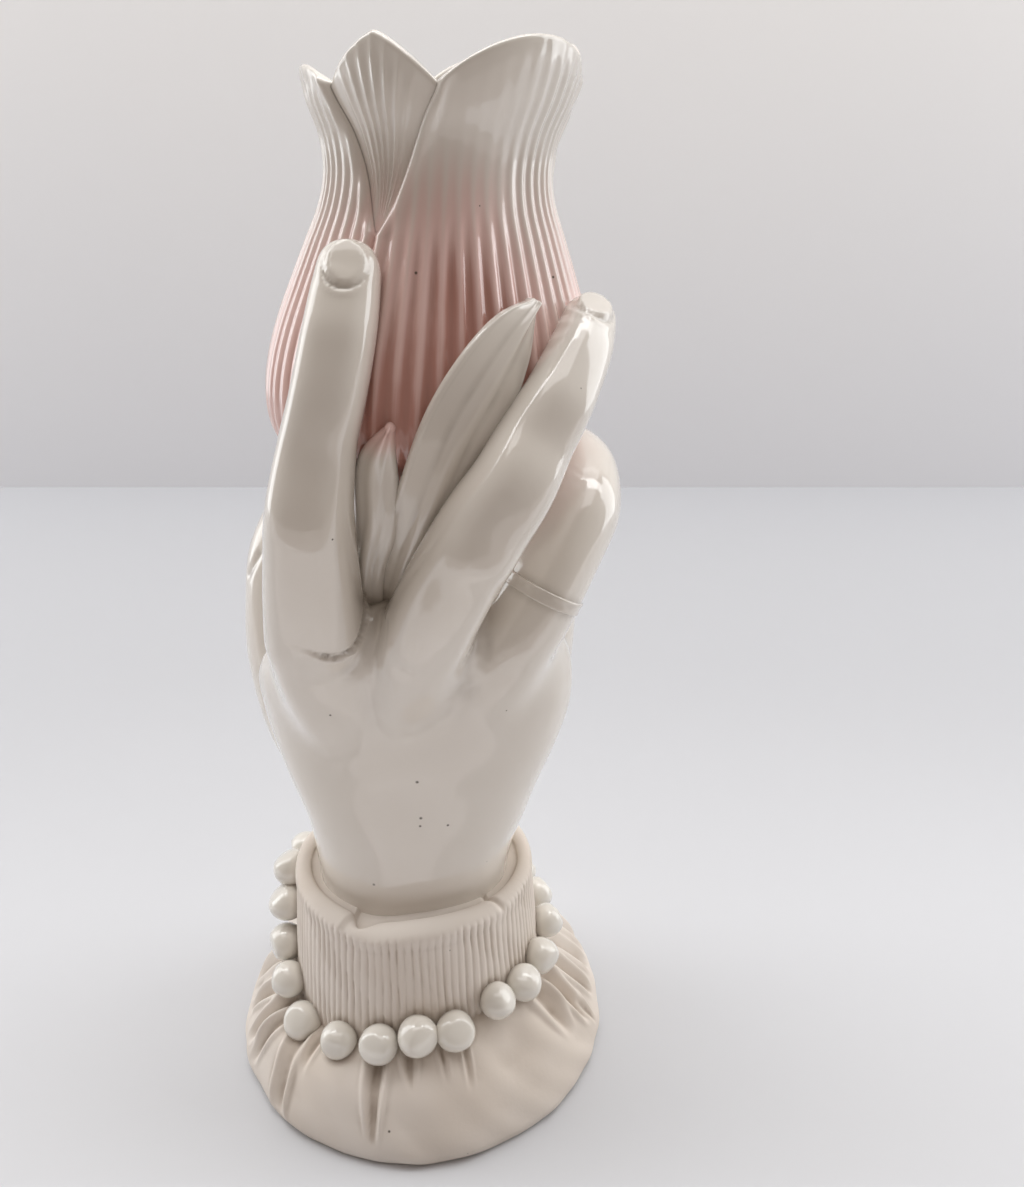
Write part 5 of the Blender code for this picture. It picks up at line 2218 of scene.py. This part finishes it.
MIDDLE = (0.0, 0.0, 0.1)
WINDOW_SIZE = (0.4, 0.9)
WINDOW_LIGHT = (0.95, 0.98, 1.0)
LAMPS = (
    Lamp("left window", (-0.72, 0.2, 0.35), MIDDLE, WINDOW_SIZE, 3.0, WINDOW_LIGHT),
    Lamp("right window", (0.72, 0.16, 0.35), MIDDLE, WINDOW_SIZE, 2.9, WINDOW_LIGHT),
    Lamp("front sheet", (0.0, -0.185, 0.004), (0.0, -0.185, 0.5), (2.0, 0.23), 0.62, (1.0, 0.93, 0.90)),
    Lamp("top sheet", (0.0, 0.05, 0.9), MIDDLE, (0.9, 0.7), 3.2, (1.0, 0.99, 0.98)),
    Lamp("wall wash", (0.0, 0.12, 1.0), (0.0, 0.38, 0.3), (1.6, 0.2), 4.1, (0.98, 0.99, 1.0)),
)


@dataclass
class Studio:
    """Floor, backdrop, camera and lights."""

    photo_height: float = 1187.0
    focal: float = 1025.0
    sensor: float = 36.0
    nearest: float = 0.005
    eye: Spot = (0.0203, -0.1777, 0.1875)
    tilt: float = 24.5
    wall_place: float = 0.38
    wall_height: float = 2.0
    sheet_front: float = -0.16
    room_width: float = 6.0
    # Painted falloff of light: the floor darkens towards the wall and the wall lightens towards the top.
    floor_paper: Paper = Paper("floor paper", (0.68, 0.69, 0.715), (0.49, 0.495, 0.515), 1, (-0.1, 0.22))
    wall_paper: Paper = Paper("wall paper", (0.74, 0.74, 0.765), (0.90, 0.885, 0.865), 2, (0.0, 0.5))
    room_light: Colour = (1.0, 0.85, 0.75)
    room_strength: float = 0.245

    def camera(self) -> None:
        """The camera at the photograph's view."""
        data = bpy.data.cameras.new("camera")
        data.sensor_width = self.sensor
        data.lens = self.sensor * self.focal / self.photo_height
        data.clip_start = self.nearest
        camera = in_scene("camera", data)
        camera.location = self.eye
        camera.rotation_euler = (math.radians(90.0 - self.tilt), 0.0, 0.0)
        bpy.context.scene.camera = camera

    def panel(self, name: str, depth: float, place: Matrix, paper: Paper) -> None:
        """Puts a flat stage piece, as wide as the room, into the scene.

        Args:
            name: Name of the piece.
            depth: Its size the other way.
            place: How it is turned and moved from flat round the origin.
            paper: Its finish.
        """
        form = bmesh.new()
        bmesh.ops.create_grid(form, x_segments=1, y_segments=1, size=0.5)
        bmesh.ops.scale(form, vec=(self.room_width, depth, 1.0), verts=form.verts)
        bmesh.ops.transform(form, matrix=place, verts=form.verts)
        mesh = bpy.data.meshes.new(name)
        form.to_mesh(mesh)
        form.free()
        mesh.materials.append(paper.material())
        thing = in_scene(name, mesh)

    def room(self) -> None:
        """A pale sheet that ends in front of the vase, and a pale wall behind it."""
        reach = self.wall_place - self.sheet_front
        place = Matrix.Translation((0.0, self.wall_place - 0.5 * reach, 0.0))
        self.panel("floor", reach, place, self.floor_paper)
        place = Matrix.Translation((0.0, self.wall_place, 0.5 * self.wall_height))
        place = place @ Matrix.Rotation(math.radians(90.0), 4, "X")
        self.panel("wall", self.wall_height, place, self.wall_paper)

    def lights(self) -> None:
        """Bright sides and top, with a darker side where the camera stands."""
        for lamp in LAMPS:
            lamp.hang()
        world = bpy.data.worlds.new("room light")
        world.use_nodes = True
        back = world.node_tree.nodes["Background"]
        back.inputs["Color"].default_value = (*self.room_light, 1.0)
        back.inputs["Strength"].default_value = self.room_strength
        bpy.context.scene.world = world

    def build(self) -> None:
        """Sets the whole stage."""
        self.camera()
        self.room()
        self.lights()
        bpy.context.scene.view_settings.view_transform = "Standard"


def main() -> None:
    """Builds the vase and its stage."""
    logging.basicConfig(level=logging.INFO, format="%(message)s")
    effects = Effects()
    materials = {finish: finish.value.material(effects) for finish in Finish}
    stack = Stack()
    tulip = Tulip("tulip", Finish.PINK_GLAZE, stack)
    hand = Hand("hand", Finish.WHITE_GLAZE, stack, tulip, undarkened_beside="cuff")
    cuff = Cuff("cuff", Finish.BISQUE, stack, undarkened_beside="hand", full_depth=0.26)
    string = PearlString("pearl_string", Finish.PEARL_GLAZE, cuff)
    frill = Frill("frill", Finish.BISQUE, stack, cuff)
    small_leaf = Leaf(
        "small_leaf",
        Finish.PINK_GLAZE,
        hand,
        (
            (-0.165, -0.331, 0.132, 0.075, 0.04),
            (-0.15, -0.464, 0.51, 0.11, 0.046),
            (-0.07, -0.596, 0.83, 0.128, 0.05),
        ),
        ((-12.7, 0.149, 0.113), (-8.0, 0.238, 0.03)),
        tip_blush=0.7,
    )
    large_leaf = Leaf(
        "large_leaf",
        Finish.WHITE_GLAZE,
        hand,
        (
            (-0.05, -0.331, 0.132, 0.1, 0.043),
            (0.062, -0.497, 0.513, 0.152, 0.053),
            (0.205, -0.636, 0.894, 0.182, 0.056),
        ),
        ((12.2, 0.211, 0.205), (20.8, 0.326, 0.205), (30.8, 0.418, 0.152), (40.5, 0.477, 0.033)),
        ridges=5,
    )
    band = FingerBand("finger_band", Finish.WHITE_GLAZE, hand)
    pieces = [tulip, hand, small_leaf, large_leaf, band, cuff, string, frill]
    meshes = {piece.name: piece.shaped() for piece in pieces}
    trees = {name: tree_of(mesh) for name, mesh in meshes.items()}
    for piece in pieces:
        mesh = meshes[piece.name]
        others = [tree for name, tree in trees.items() if name not in (piece.name, piece.undarkened_beside)]
        # Dirt and painted shade: grooves, and places close to other pieces, are marked for darkening.
        hollow = find_hollows(mesh, HOLLOW_ROUNDS, piece.full_depth)
        hollow = np.maximum(hollow, closeness(mesh, others, CONTACT_REACH))
        put_values(mesh, HOLLOW, hollow)
        piece.install(mesh, materials)
    Studio().build()


if __name__ == "__main__":
    main()
